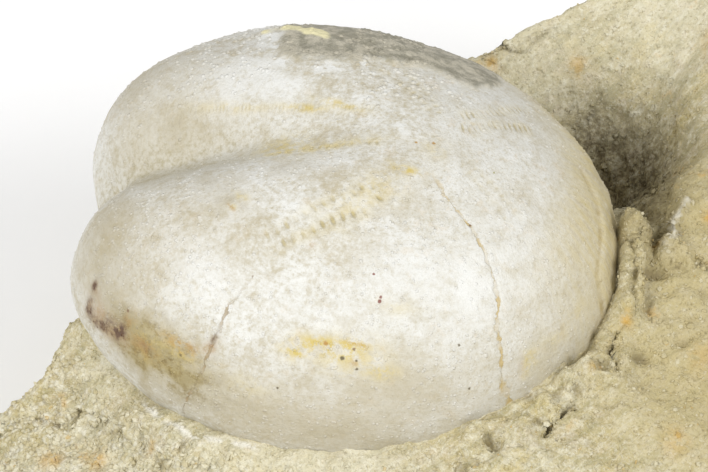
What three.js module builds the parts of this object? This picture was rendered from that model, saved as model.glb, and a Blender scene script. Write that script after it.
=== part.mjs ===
// A fossil heart urchin, half sunk in the broken piece of limestone that it was found in.
// Millimetres, +Z up. The rock lies on its flat underside at z = 0 and the origin is under the
// middle of the whole specimen. The urchin's front, with its groove, points to -X.
import * as THREE from "three";

// ---- the urchin's test: an egg-shaped shell with the apex a little behind its middle ----
const HALF_LENGTH = 21.78;
const HALF_WIDTH = 18.35;
const APEX_SETBACK = 4.33; // from the middle of the outline back to the apex
const CROWN_HEIGHT = 14.95; // from the widest level up to the apex
const BASE_DEPTH = 11.4; // from the widest level down to the underside
const SQUARENESS = 2.16; // exponent of the side profile: 2 is an ellipse
const CROWN_SLOPE = 0.03; // the crown drops this much per millimetre towards the front
const REAR_TAPER = 0.022;

// ---- the front groove: a valley that starts at the apex and deepens to the front margin ----
// Widths and roundnesses (exponents of the valley's cross-section) are at the apex and at the front.
const GROOVE_DEPTH = 5.2;
const GROOVE_NEAR_WIDTHS = [2.9, 6.2]; // of its near half
const GROOVE_FAR_WIDTHS = [3.4, 5.8];
const GROOVE_NEAR_ROUNDNESS = [2.3, 1.75];
const GROOVE_FAR_ROUNDNESS = [1.8, 1.35];
const GROOVE_FULL_AT = 0.82; // share of the way to the front margin where it is fully deep
const GROOVE_FADES_BELOW = 0.9; // share of the base depth where it has run out underneath

// ---- the far shoulder of the front, which swells a little past the egg shape ----
const SWELL_HEIGHT = 0.55;
const SWELL_DIRECTION = -16; // degrees around the apex axis
const SWELL_SPREAD = 14;
const SWELL_DOWN = 0.52; // 0 at the apex, 0.5 at the widest level
const SWELL_DOWN_SPREAD = 0.14;

// ---- how the test sits in the rock ----
const TEST_TURN = 8.55; // degrees that the front is turned away to +Y
const TEST_TIP = 11.9; // degrees that the rear end dips into the rock
const ROCK_BELOW_TEST_LEVEL = 24; // from the rock's underside up to the test's widest level
const SOCKET_GAP = 0.3;

// ---- the rock ----
// One row for each corner of the broken top edge, anticlockwise from the urchin's front:
// direction in degrees around the test's axis, how far down the test the rock reaches there
// (0 is the apex, 0.5 the widest level, 1 the underside), then the corner's x, y and z
// measured from the middle of the test.
const ROCK_CORNERS = [
  [0, 0.71, -21.9, 4.5, -4.2],
  [14, 0.67, -22.6, -1, -3],
  [22, 0.62, -23.2, -4.6, -0.6],
  [28, 0.565, -23.7, -6.6, 0.9],
  [32, 0.59, -24.1, -8.2, 0.1],
  [36, 0.607, -25.6, -10.1, -1.1],
  [40, 0.612, -28.9, -11.7, -3.4],
  [45, 0.615, -34.5, -15.2, -5.5],
  [54, 0.57, -36, -22.5, -8.5],
  [66, 0.55, -28, -27.5, -9.5],
  [82, 0.512, -14, -29.5, -9.5],
  [100, 0.49, 1, -31, -8.5],
  [118, 0.445, 16, -31, -7],
  [135, 0.423, 29, -27, -4.5],
  [152, 0.4, 37, -17, -1.5],
  [170, 0.37, 39, -5, 1.8],
  [188, 0.35, 39.5, 7, 4.8],
  [203, 0.37, 36, 18, 7],
  [218, 0.49, 28, 26, 7],
  [230, 0.545, 20, 26.2, 5],
  [240, 0.55, 14.5, 24.1, 3.4],
  [250, 0.55, 10.3, 22.6, 2.1],
  [260, 0.545, 6.6, 21, 0.9],
  [275, 0.53, -1, 20.8, -1.4],
  [292, 0.545, -9, 20.6, -2.2],
  [310, 0.59, -16, 17.5, -3],
  [328, 0.655, -20.3, 12, -3.9],
];
// The broken side, from the top edge down: share of the height, and how far it stands out.
const SIDE_PROFILE = [
  [0.1, 0.8],
  [0.25, 1.5],
  [0.45, 1.6],
  [0.65, 0.8],
  [0.85, -0.7],
  [0.97, -2],
  [1, -2.8],
];
const TOP_FALL_POWER = 1.5; // the top stays level near the test and falls off to its edge
const LEDGE_DEPTH = 3; // step down in the rock in front of the test, at its left
const LEDGE_FROM = 1.8; // distances from the test where the step starts and ends
const LEDGE_TO = 5;
const LEDGE_DIRECTION = 56; // degrees around the test's axis
const LEDGE_SPREAD = 26;
const COLLAR_HEIGHT = 1.2; // rim of rock that clings to the test's rear
const COLLAR_WIDTH = 3;
const COLLAR_DIRECTION = 188;
const COLLAR_SPREAD = 22;
const HOLLOW_PLACE = [17.2, 13.7]; // pit beside the test's far rear corner
const HOLLOW_RADIUS = 5.4;
const HOLLOW_DEPTH = 8;

// ---- mesh fineness ----
const TEST_MERIDIANS = 72;
const TEST_ROWS = 24;
const FRONT_CROWDING = 0.35; // draws the meridians together at the groove
const SPOKES_PER_CORNER = 4;
const SOCKET_ROWS = 8;
const TOP_ROWS = 9;

const TAU = 2 * Math.PI;
const radians = THREE.MathUtils.degToRad;
const mix = THREE.MathUtils.lerp;
const clamp01 = (value) => THREE.MathUtils.clamp(value, 0, 1);
const smooth = (value) => THREE.MathUtils.smoothstep(value, 0, 1);

// Distance from the apex axis to the outline: an ellipse whose centre lies ahead of the axis.
function outlineReach(direction) {
  const cos = Math.cos(direction);
  const sin = Math.sin(direction);
  const a = (cos / HALF_LENGTH) ** 2 + (sin / HALF_WIDTH) ** 2;
  const b = (-2 * APEX_SETBACK * cos) / HALF_LENGTH ** 2;
  const c = (APEX_SETBACK / HALF_LENGTH) ** 2 - 1;
  const reach = (-b + Math.sqrt(b * b - 4 * a * c)) / (2 * a);
  const behind = clamp01((APEX_SETBACK - reach * cos) / HALF_LENGTH);
  return reach * (1 - REAR_TAPER * behind ** 2 * Math.abs(sin));
}

// The test without its groove: x to the front, z along the apex axis. `down` runs from 0 at
// the apex over 0.5 at the widest level to 1 at the middle of the underside.
function roundedTest(direction, down) {
  const angle = Math.PI * down;
  const width = Math.abs(Math.sin(angle)) ** (2 / SQUARENESS);
  const height = Math.abs(Math.cos(angle)) ** (2 / SQUARENESS);
  const reach = width * outlineReach(direction);
  const x = reach * Math.cos(direction);
  const y = reach * Math.sin(direction);
  if (Math.cos(angle) < 0) return new THREE.Vector3(x, y, -BASE_DEPTH * height);
  const slope = CROWN_SLOPE * x * Math.abs(Math.cos(angle));
  return new THREE.Vector3(x, y, CROWN_HEIGHT * height - slope);
}

// Outward direction, from two short steps along the surface.
function roundedNormal(direction, down) {
  const step = 1e-3;
  const inside = THREE.MathUtils.clamp(down, 2 * step, 1 - 2 * step);
  const around = roundedTest(direction + step, inside).sub(roundedTest(direction - step, inside));
  const along = roundedTest(direction, inside + step).sub(roundedTest(direction, inside - step));
  return along.cross(around).normalize();
}

function grooveDepth(point) {
  const forward = clamp01(point.x / (APEX_SETBACK + HALF_LENGTH));
  const near = point.y > 0;
  const halfWidth = mix(...(near ? GROOVE_NEAR_WIDTHS : GROOVE_FAR_WIDTHS), forward);
  const roundness = mix(...(near ? GROOVE_NEAR_ROUNDNESS : GROOVE_FAR_ROUNDNESS), forward);
  const lengthwise = smooth(forward / GROOVE_FULL_AT);
  const fadeDepth = BASE_DEPTH * GROOVE_FADES_BELOW;
  const underneath = clamp01((point.z + fadeDepth) / fadeDepth);
  const across = Math.exp(-(Math.abs(point.y / halfWidth) ** roundness));
  return GROOVE_DEPTH * lengthwise * underneath * across;
}

const testTilt = new THREE.Matrix4()
  .makeRotationY(radians(TEST_TIP))
  .multiply(new THREE.Matrix4().makeRotationZ(radians(180 - TEST_TURN)));

function towards(direction, middle, spread) {
  const away = THREE.MathUtils.euclideanModulo(direction - middle + 180, 360) - 180;
  return Math.exp(-((away / spread) ** 2));
}

function swellHeight(direction, down) {
  const aside = towards(THREE.MathUtils.radToDeg(direction), SWELL_DIRECTION, SWELL_SPREAD);
  return SWELL_HEIGHT * aside * Math.exp(-(((down - SWELL_DOWN) / SWELL_DOWN_SPREAD) ** 2));
}

// A point of the tilted test, `outside` millimetres off its surface.
function testPoint(direction, down, outside = 0) {
  const point = roundedTest(direction, down);
  const away = outside + swellHeight(direction, down) - grooveDepth(point);
  point.addScaledVector(roundedNormal(direction, down), away);
  return point.applyMatrix4(testTilt);
}

// A smooth closed curve through rows of numbers; `place` counts rows.
function throughRows(rows, place, column, turn = 0) {
  const count = rows.length;
  const start = Math.floor(place);
  const value = (index) => {
    const laps = Math.floor(index / count);
    return rows[index - laps * count][column] + laps * turn;
  };
  const [before, from, to, after] = [-1, 0, 1, 2].map((offset) => value(start + offset));
  const t = place - start;
  const bend = 2 * before - 5 * from + 4 * to - after;
  const twist = 3 * from - before - 3 * to + after;
  return from + 0.5 * t * (to - before + t * (bend + t * twist));
}

// One spoke of the rock's skin, from the bottom of the socket out to the underside's edge.
function rockSpoke(place) {
  const direction = throughRows(ROCK_CORNERS, place, 0, 360);
  const lip = throughRows(ROCK_CORNERS, place, 1);
  const [x, y, z] = [2, 3, 4].map((column) => throughRows(ROCK_CORNERS, place, column));
  const edge = new THREE.Vector3(x, y, z);
  const points = [];
  for (let row = 1; row <= SOCKET_ROWS; row += 1) {
    const down = mix(1, lip, row / SOCKET_ROWS);
    points.push(testPoint(radians(direction), down, SOCKET_GAP));
  }
  const shore = points[points.length - 1];
  const span = Math.hypot(edge.x - shore.x, edge.y - shore.y);
  for (let row = 1; row <= TOP_ROWS; row += 1) {
    const share = (row / TOP_ROWS) ** TOP_FALL_POWER;
    const point = shore.clone().lerp(edge, share);
    point.z = mix(shore.z, edge.z, share ** TOP_FALL_POWER);
    const distance = span * share;
    const ledge = smooth((distance - LEDGE_FROM) / (LEDGE_TO - LEDGE_FROM)) * (1 - share);
    point.z -= LEDGE_DEPTH * ledge * towards(direction, LEDGE_DIRECTION, LEDGE_SPREAD);
    const collar = 4 * (distance / COLLAR_WIDTH) * (1 - distance / COLLAR_WIDTH);
    const clinging = Math.max(collar, 0) * towards(direction, COLLAR_DIRECTION, COLLAR_SPREAD);
    point.z += COLLAR_HEIGHT * clinging;
    const fromHollow = Math.hypot(point.x - HOLLOW_PLACE[0], point.y - HOLLOW_PLACE[1]);
    const inHollow = Math.exp(-((fromHollow / HOLLOW_RADIUS) ** 2)) * (1 - share);
    point.z -= HOLLOW_DEPTH * inHollow;
    points.push(point);
  }
  const outward = new THREE.Vector3(edge.x, edge.y, 0).normalize();
  for (const [share, standOut] of SIDE_PROFILE) {
    const point = edge.clone().addScaledVector(outward, standOut);
    point.z = mix(edge.z, -ROCK_BELOW_TEST_LEVEL, share);
    points.push(point);
  }
  return points;
}

// A closed skin over rings of points stacked between two end points. Rings run anticlockwise
// seen from the first end, which puts the outside of every face outwards.
function closedSkin(firstEnd, rings, lastEnd) {
  const size = rings[0].length;
  const points = [firstEnd, ...rings.flat(), lastEnd];
  const lastIndex = points.length - 1;
  const faces = [];
  for (let i = 0; i < size; i += 1) {
    const next = (i + 1) % size;
    faces.push(0, 1 + i, 1 + next);
    for (let ring = 0; ring < rings.length - 1; ring += 1) {
      const upper = 1 + ring * size;
      const lower = upper + size;
      faces.push(upper + i, lower + i, lower + next);
      faces.push(upper + i, lower + next, upper + next);
    }
    const final = 1 + (rings.length - 1) * size;
    faces.push(final + i, lastIndex, final + next);
  }
  const geometry = new THREE.BufferGeometry().setFromPoints(points);
  geometry.setIndex(faces);
  geometry.computeVertexNormals();
  return geometry;
}

function buildTest() {
  const rings = [];
  for (let row = 1; row < TEST_ROWS; row += 1) {
    const ring = [];
    for (let i = 0; i < TEST_MERIDIANS; i += 1) {
      const turn = (TAU * i) / TEST_MERIDIANS;
      ring.push(testPoint(turn - FRONT_CROWDING * Math.sin(turn), row / TEST_ROWS));
    }
    rings.push(ring);
  }
  const material = new THREE.MeshStandardMaterial({
    color: 0xe6e1d0,
    roughness: 0.55,
    metalness: 0,
  });
  const test = new THREE.Mesh(closedSkin(testPoint(0, 0), rings, testPoint(0, 1)), material);
  test.name = "urchin_test";
  return test;
}

function buildRock() {
  const spokes = [];
  for (let i = 0; i < ROCK_CORNERS.length * SPOKES_PER_CORNER; i += 1) {
    spokes.push(rockSpoke(i / SPOKES_PER_CORNER));
  }
  const rings = spokes[0].map((_, row) => spokes.map((spoke) => spoke[row]));
  const socketBottom = testPoint(0, 1, SOCKET_GAP);
  const undersideMiddle = new THREE.Vector3(0, 0, -ROCK_BELOW_TEST_LEVEL);
  const material = new THREE.MeshStandardMaterial({
    color: 0xc9bf98,
    roughness: 0.95,
    metalness: 0,
  });
  const rock = new THREE.Mesh(closedSkin(socketBottom, rings, undersideMiddle), material);
  rock.name = "limestone_matrix";
  return rock;
}

const specimen = new THREE.Group();
specimen.add(buildTest(), buildRock());
const extent = new THREE.Box3().setFromObject(specimen, true);
const middle = extent.getCenter(new THREE.Vector3());
specimen.position.set(-middle.x, -middle.y, ROCK_BELOW_TEST_LEVEL);

const fossil = new THREE.Group();
fossil.add(specimen);

export default fossil;
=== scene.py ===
import itertools

import bpy
import numpy as np
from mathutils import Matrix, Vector


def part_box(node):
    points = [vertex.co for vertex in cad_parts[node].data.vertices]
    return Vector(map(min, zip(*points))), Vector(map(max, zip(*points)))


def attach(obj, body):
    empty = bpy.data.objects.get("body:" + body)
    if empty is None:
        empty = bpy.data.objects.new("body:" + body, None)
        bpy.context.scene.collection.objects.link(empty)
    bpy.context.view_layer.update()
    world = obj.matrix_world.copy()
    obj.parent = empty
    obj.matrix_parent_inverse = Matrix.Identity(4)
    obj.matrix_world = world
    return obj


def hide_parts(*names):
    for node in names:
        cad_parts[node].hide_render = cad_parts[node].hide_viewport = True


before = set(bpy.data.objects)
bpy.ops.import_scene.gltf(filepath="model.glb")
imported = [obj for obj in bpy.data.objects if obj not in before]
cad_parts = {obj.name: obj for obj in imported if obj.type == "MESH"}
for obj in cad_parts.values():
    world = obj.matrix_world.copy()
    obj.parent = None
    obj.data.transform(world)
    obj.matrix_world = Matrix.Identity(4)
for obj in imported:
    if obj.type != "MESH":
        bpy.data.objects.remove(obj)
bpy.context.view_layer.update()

# A fossil heart urchin, half sunk in a broken piece of cream limestone. Shapes are worked out in
# millimetres around the middle of the urchin's test and moved to the frame's place at the end.
# `direction` is the angle around the apex axis, in radians, from the front groove over the near
# flank; `down` is 0 at the apex, 0.5 at the widest level and 1 at the middle of the underside.

MM = 0.001
TAU = 2 * np.pi

# ---- the test ----
HALF_LENGTH = 21.78
HALF_WIDTH = 18.35
APEX_SETBACK = 4.33
CROWN_HEIGHT = 14.95
BASE_DEPTH = 11.4
SQUARENESS = 2.16
CROWN_SLOPE = 0.03
REAR_TAPER = 0.022
GROOVE_DEPTH = 5.2
GROOVE_NEAR_WIDTHS = (2.9, 6.2)  # of its near half, at the apex and at the front
GROOVE_FAR_WIDTHS = (3.4, 5.8)
GROOVE_NEAR_ROUNDNESS = (2.3, 1.75)
GROOVE_FAR_ROUNDNESS = (1.8, 1.35)
GROOVE_FULL_AT = 0.82
GROOVE_FADES_BELOW = 0.9
SWELL_HEIGHT = 0.55
SWELL_DIRECTION = -16
SWELL_SPREAD = 14
SWELL_DOWN = 0.52
SWELL_DOWN_SPREAD = 0.14
TEST_TURN = 8.55
TEST_TIP = 11.9
MERIDIAN_LENGTH = 54  # along the test from the apex to the middle of the underside

PORE_ROWS = [
    # pore pitch, pore half length, strength, then directions and downs along the row
    (0.78, 0.4, 1.0, [[67, 0.095], [65.6, 0.106], [64.5, 0.122], [61.9, 0.134], [57.6, 0.151],
                      [54.4, 0.172], [52.5, 0.195], [50.8, 0.206], [49.8, 0.228], [49.5, 0.245]]),
    (0.78, 0.36, 0.9, [[60, 0.085], [56.8, 0.095], [53.6, 0.105], [53.1, 0.118], [48.9, 0.134],
                       [47.8, 0.159], [47.2, 0.184], [46.7, 0.206], [45.4, 0.225]]),
    (0.3, 0.32, 0.4, [[-24, 0.055], [-22.8, 0.064], [-15.5, 0.097], [-12.6, 0.143], [-11.8, 0.189],
                      [-11.4, 0.242], [-11.6, 0.27]]),
    (0.6, 0.25, 0.7, [[22, 0.04], [18.8, 0.05], [14.2, 0.079], [12, 0.11], [11, 0.15]]),
    (0.46, 0.5, 0.8, [[-135, 0.035], [-143.2, 0.051], [-144.3, 0.101], [-147, 0.13], [-148.2, 0.16]]),
    (0.46, 0.45, 0.7, [[-118, 0.05], [-129.3, 0.08], [-131.7, 0.123], [-132.9, 0.17], [-136, 0.2]]),
    (0.7, 0.24, 0.35, [[152, 0.04], [150, 0.1], [149.5, 0.17]]),
    (0.7, 0.24, 0.35, [[140, 0.04], [141, 0.1], [142, 0.17]]),
    (0.7, 0.24, 0.5, [[-80, 0.03], [-68, 0.06], [-57, 0.1], [-51, 0.15]]),
    (0.7, 0.24, 0.5, [[-100, 0.03], [-82, 0.06], [-69, 0.1], [-59, 0.15]]),
]
PORE_HALF_WIDTH = 0.23  # as a share of the pitch

FRONT_CRACK = np.array([
    # direction, down
    [51.2, 0.272], [51.6, 0.3], [51.4, 0.324], [52.8, 0.356], [53.1, 0.382], [53.3, 0.399],
    [53.9, 0.43], [54, 0.47], [53.3, 0.514], [53, 0.56], [53.5, 0.62],
])
REAR_CRACK = np.array([
    [95, 0.05], [101.9, 0.066], [112, 0.1], [120.4, 0.138], [123.3, 0.177], [124.4, 0.2],
    [124.9, 0.227], [124.4, 0.26], [122.9, 0.294], [123.6, 0.33], [123.9, 0.384], [127, 0.423],
    [128, 0.5],
])
REAR_FOLD = np.array([[-162.1, 0.24], [-167, 0.25], [-172, 0.266], [176.1, 0.291], [165.4, 0.318],
                      [163.5, 0.36], [161, 0.42]])
CALCITE_LENS = np.array([[-42.2, 0.268], [-44, 0.248], [-46.2, 0.226], [-48.6, 0.215]])
LENS_HALF_WIDTH = 0.75
LENS_HEIGHT = 0.22
PORE_DEPTH = 0.05
CRACK_DEPTH = 0.03
CRACK_HALF_WIDTH = 0.22
FOLD_DEPTH = 0.1
FOLD_HALF_WIDTH = 0.3
REAR_LAYER_HEIGHT = 0.26
SLAB_HEIGHT = 0.13
SLAB_ROUGHNESS = 0.1
SLAB_EDGE = np.array([
    # plan position of the edge of the grey layer on the far flank
    [-5.4, -14], [-4.8, -9.8], [-3.7, -7.7], [-2.3, -6.9], [-0.6, -7.1], [0.9, -8],
    [4.8, -7.5], [7.7, -6.8], [10.5, -6.6], [13.5, -7.8], [15.4, -9.2], [18, -13],
])

CROWN_SWELLS = [
    # direction, down, spread across and along in millimetres, height (a dent, if below zero)
    [-33, 0.295, 2.6, 4.0, -0.38], [-44, 0.28, 2.2, 3.5, 0.2], [-82, 0.25, 4.0, 4.0, -0.18],
]

# Stains, beige places that are partly painted shade, and painted highlights: direction, down, spread
# across and spread along the test in millimetres, strength.
OCHRE = [
    [69.4, 0.348, 1.0, 0.8, 1.2], [73.3, 0.326, 1.4, 0.5, 0.8], [78, 0.33, 1.6, 0.8, 0.6],
    [91.2, 0.355, 1.1, 0.6, 0.8], [81.5, 0.335, 2.6, 1.6, 0.7], [82.2, 0.316, 0.8, 0.3, 0.9],
    [90.1, 0.253, 1.4, 0.7, 0.35], [66.8, 0.057, 1.2, 0.3, 1.2], [62, 0.09, 1.6, 1.2, 0.4],
    [48.5, 0.425, 1.3, 0.7, 0.9], [42, 0.45, 1.2, 0.6, 0.4], [42.5, 0.48, 0.8, 0.7, 0.3],
    [46.5, 0.45, 3.4, 2.0, 0.25], [57.5, 0.14, 1.4, 2.6, 0.4], [7.6, 0.129, 1.4, 1.6, 0.9],
    [14, 0.08, 0.6, 2.0, 0.6], [31, 0.2, 0.5, 0.3, 0.8], [32.6, 0.217, 0.35, 0.2, 1.0],
    [-19, 0.09, 0.35, 1.4, 0.9], [-13.5, 0.115, 0.35, 1.3, 0.9], [-12, 0.2, 0.5, 3.0, 0.4],
    [133.5, 0.365, 0.6, 0.9, 1.0], [131.5, 0.385, 0.4, 0.7, 0.6], [143.2, 0.353, 1.4, 0.9, 0.4],
    [153, 0.338, 1.0, 1.0, 0.4], [103, 0.02, 1.2, 0.9, 0.4], [63.6, 0.43, 1.6, 1.0, 0.35],
]
RUST = [
    [47.8, 0.422, 1.3, 0.5, 0.8], [42, 0.457, 1.0, 0.5, 0.6], [53.2, 0.398, 0.4, 0.6, 1.0],
    [82.2, 0.314, 0.7, 0.12, 1.0], [83.4, 0.345, 0.25, 0.25, 0.8], [29.5, 0.473, 0.9, 1.1, 0.35],
    [34.5, 0.478, 1.5, 0.9, 0.5], [37.3, 0.44, 0.5, 0.9, 0.5], [57, 0.2, 0.2, 0.3, 0.5],
    [32.6, 0.219, 0.4, 0.1, 0.9], [130, 0.37, 0.25, 1.0, 0.4], [42, 0.47, 1.2, 0.8, 0.4],
    [33, 0.49, 1.8, 0.9, 0.25], [50, 0.415, 0.8, 0.4, 0.6],
]
MANGANESE = [
    [27.6, 0.452, 0.22, 0.5, 1.3], [28.6, 0.457, 0.5, 0.35, 0.7], [28.4, 0.492, 0.35, 1.0, 1.3],
    [30.4, 0.502, 0.45, 0.6, 1.1], [32.6, 0.495, 0.7, 0.45, 1.1], [34.9, 0.481, 0.9, 0.7, 1.2],
    [36.8, 0.471, 0.5, 0.8, 1.2], [53.1, 0.383, 0.2, 0.5, 0.9], [42.5, 0.462, 0.6, 0.25, 0.5],
]
DRAB = [
    [44.5, 0.455, 4.4, 2.5, 1.9], [41.5, 0.48, 2.2, 1.8, 0.8], [51, 0.487, 3, 1.8, 0.4],
    [85, 0.48, 9, 1.6, 0.25], [24, 0.42, 3, 4, 0.3],
    # the broad weak spot at -20 degrees, on the far lobe, is partly drab tone and partly painted shade
    # of a flank turned from the lights
    [-20, 0.36, 4.0, 6.0, 0.35], [10, 0.2, 2.2, 6.0, 0.15], [31, 0.215, 1.6, 0.9, 0.5],
    [20, 0.223, 1.2, 0.8, 0.5], [-8.4, 0.28, 1.0, 1.6, 0.4], [25, 0.13, 1.0, 1.4, 0.3],
]
# beige places, mostly low on the flanks where the surface turns down: partly the test's own beige tone,
# partly painted shade
BEIGE = [
    [80, 0.47, 16, 4.5, 0.9], [20, 0.42, 5, 6, 0.8], [-10, 0.34, 4, 5, 0.8], [-24, 0.42, 4, 4, 0.5],
    [150, 0.42, 6, 4, 0.6], [100, 0.36, 6, 2, 0.35], [-4, 0.2, 2.2, 6, 0.3], [135, 0.3, 3, 5, 0.3],
    [23, 0.33, 3, 3.5, 0.7], [35, 0.24, 3, 2, 0.35], [33, 0.34, 5, 4, 0.4], [96, 0.4, 8, 3, 0.45],
]
# painted highlights: places made paler where the sheen of the lights falls
PAINTED_HIGHLIGHTS = [
    [112, 0.24, 3.5, 3.0, 0.9], [40.5, 0.31, 2.4, 1.7, 0.8], [90, 0.2, 5, 2.0, 0.5],
    [-18.5, 0.22, 1.9, 4.5, 1.0], [140, 0.2, 4, 4, 0.4], [66, 0.28, 5, 2, 0.5],
    [24, 0.17, 2.2, 5, 0.6],
]
DOTS = [
    # direction, down, radius in millimetres, tone
    [79.7, 0.211, 0.14, "red"], [84.4, 0.242, 0.17, "red"], [84.6, 0.248, 0.18, "red"],
    [80.2, 0.341, 0.2, "dark"], [82.1, 0.324, 0.16, "brown"], [83.6, 0.341, 0.13, "dark"],
    [84.4, 0.354, 0.15, "dark"], [75, 0.324, 0.24, "orange"], [110.6, 0.311, 0.16, "dark"],
    [69.2, 0.417, 0.13, "dark"], [114.8, 0.386, 0.12, "dark"], [49.1, 0.436, 0.17, "dark"],
    [36.2, 0.431, 0.17, "brown"], [120.4, 0.138, 0.13, "brown"], [51.2, 0.274, 0.11, "brown"],
    [-169.8, 0.25, 0.13, "green"], [-177.8, 0.24, 0.11, "green"], [161.5, 0.086, 0.11, "green"],
    [-168.5, 0.243, 0.1, "green"], [97, 0.009, 0.16, "orange"], [39.5, 0.017, 0.14, "orange"],
]
TUBERCLES = 2800
TUBERCLE_RADII = (0.11, 0.18)
LUMP_SIDES = 5
TEST_MERIDIANS = 580
TEST_ROW_STOPS = [0, 92, 142, 152, 164]
TEST_DOWN_STOPS = [0, 0.3, 0.56, 0.68, 1]
FRONT_CROWDING = 0.3

# ---- the rock ----
ROCK_DEPTH = 24  # from the middle of the test down to the rock's underside
ROCK_CORNERS = np.array([
    # direction, reach down the test, then x, y and z of the broken top edge
    [0, 0.71, -21.9, 4.5, -4.2],
    [14, 0.67, -22.6, -1, -3],
    [22, 0.62, -23.2, -4.6, -0.6],
    [28, 0.565, -23.7, -6.6, 0.9],
    [32, 0.59, -24.1, -8.2, 0.1],
    [36, 0.607, -25.6, -10.1, -1.1],
    [40, 0.612, -28.9, -11.7, -3.4],
    [45, 0.615, -34.5, -15.2, -5.5],
    [54, 0.57, -36, -22.5, -8.5],
    [66, 0.55, -28, -27.5, -9.5],
    [82, 0.512, -14, -29.5, -9.5],
    [100, 0.49, 1, -31, -8.5],
    [118, 0.445, 16, -31, -7],
    [135, 0.423, 29, -27, -4.5],
    [152, 0.4, 37, -17, -1.5],
    [170, 0.37, 39, -5, 1.8],
    [188, 0.35, 39.5, 7, 4.8],
    [203, 0.37, 36, 18, 7],
    [218, 0.49, 28, 26, 7],
    [230, 0.545, 20, 26.2, 5],
    [240, 0.55, 14.5, 24.1, 3.4],
    [250, 0.55, 10.3, 22.6, 2.1],
    [260, 0.545, 6.6, 21, 0.9],
    [275, 0.53, -1, 20.8, -1.4],
    [292, 0.545, -9, 20.6, -2.2],
    [310, 0.59, -16, 17.5, -3],
    [328, 0.655, -20.3, 12, -3.9],
])
SIDE_PROFILE = np.array([
    # share of the side's height, distance that it stands out
    [0, 0],
    [0.1, 0.8],
    [0.25, 1.5],
    [0.45, 1.6],
    [0.65, 0.8],
    [0.85, -0.7],
    [0.97, -2],
    [1, -2.8],
])
TOP_FALL_POWER = 1.5
SOCKET_GAP = 0.3  # clear of the test at the socket's bottom
LIP_GAP = -0.03  # the rock's edge reaches just into the test's surface
LEDGE_DROP = 3
COLLAR_HEIGHT = 1.2
COLLAR_WIDTH = 3.0
MOAT_DEPTH = 0.5
STREAK_TURN = 36
STREAK_SIZES = np.array([7.0, 0.9, 2.5])
STREAK_LENGTHS = (0.006, 0.0007, 0.002)  # of the streaks of colour, in metres
ZONES = {
    # parts of the rock around the test: middle direction and spread, in degrees
    "ledge": (56, 26),
    "collar": (176, 15),
    "moat": (150, 50),
    # where the painted shade line along the test's contact shows
    "gap": (150, 62),
    "near_rubble": (128, 24),
    "rear_rubble": (185, 22),
    "calm": (222, 24),
    "coarse": (62, 34),
    "near_grains": (70, 40),
    "rear_grains": (150, 50),
}
HOLLOWS = [
    # x, y, radius and depth of the deep hollow beside the test and of its way past the collar
    [17.3, 13.2, 5.1, 8], [20.6, 8.6, 3.2, 2.4], [18.2, 4.2, 2.6, 3.6],
]
TROUGH_DEPTH = 1.3
TROUGH_MIDDLE = (20.2, 3.2)
TROUGH_SPREAD = (1.2, 3.0)
LUMPS = np.array([
    # x, y, radius and height of single knobs (or pits, below zero) on the rock's top
    [18.0, -0.6, 1.15, 2.3], [17.4, -0.2, 0.4, 0.4], [18.3, -1.3, 0.4, 0.35], [18.4, -2.5, 0.4, 0.4],
    [17.3, -4.1, 0.4, 0.3], [18.4, -5.9, 0.4, 0.4], [14.4, -12.0, 1.0, 1.2], [17.0, -10.6, 1.0, 1.0],
    [20.2, 0.2, 0.7, -0.9], [20.7, 1.6, 0.7, -0.8], [7.2, -17.6, 0.4, -0.9], [9.4, -16.6, 1.0, 0.9],
    [11.0, -15.0, 0.9, 0.9],
    [6.2, -16.6, 0.9, 0.7], [8.6, -18.6, 0.9, 0.7], [22.2, -5.6, 1.0, 0.5], [21.4, -9.0, 0.5, -0.5],
    [12.8, -12.9, 0.8, 0.8], [16.0, -12.6, 0.8, 0.8], [15.6, -9.0, 0.6, 0.7],
    [18.5, -3.2, 0.35, 0.4], [18.35, -4.1, 0.35, 0.35], [18.55, -4.9, 0.35, 0.4],
    [17.6, -3.3, 0.5, 0.35], [17.2, -5.2, 0.45, 0.35], [17.5, -6.4, 0.4, 0.35],
])
FLAKE_EDGE = [[20.6, -1.2], [21.4, -0.2], [21.1, 0.8], [21.8, 1.7], [22.4, 2.9]]
ROCK_CRACKS = [
    # depth, half width, then x and y along a crack in the rock's top (a ridge, if below zero)
    (0.9, 0.12, [[16.9, -8.6], [16.1, -10.2], [16.6, -11.9]]),
    (0.9, 0.14, [[10.9, -17.0], [11.8, -16.0], [13.0, -14.4]]),
    (-0.75, 0.5, [[17.35, -2.6], [17.45, -4.2], [17.3, -7.2]]),
    (-0.7, 0.38, [[18.4, -2.5], [18.45, -5.1]]),
    (-0.65, 0.38, [[18.4, -5.8], [18.3, -7.2]]),
    (0.45, 0.14, [[16.9, -1.9], [17.8, -2.1], [18.9, -1.9]]),
    (0.2, 0.1, [[17.95, -5.2], [17.8, -7.6]]),
    (0.6, 0.5, [[19.5, 0.4], [19.5, -1.2], [19.4, -2.2]]),
    (0.3, 0.2, [[19.3, -2.2], [19.1, -6.4], [19.4, -7.6]]),
    (-0.7, 0.24, FLAKE_EDGE),
    (-0.5, 0.25, [[20.9, -1.2], [21.6, -1.6], [22.2, -2.5], [23.5, -3.5]]),
    (0.4, 0.15, [[22.5, -2.2], [23.6, -2.9]]),
    (0.15, 0.15, [[-30, -11.6], [-27.4, -12.6], [-25.2, -12.2], [-23.6, -13]]),
    (0.15, 0.15, [[-27, -13.4], [-24.6, -13.9], [-22.2, -13.3], [-20.6, -14.2]]),
    (0.5, 0.3, [[5.0, -19.3], [7.5, -18.2], [9.5, -17.9]]),
]
CHALK_LINE = np.array([[-18.1, -12.6], [-17.4, -13.9], [-16.5, -14.8], [-15.4, -15.8], [-14.6, -16.3],
                       [-12.8, -16.7], [-9.8, -17.3]])
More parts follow.
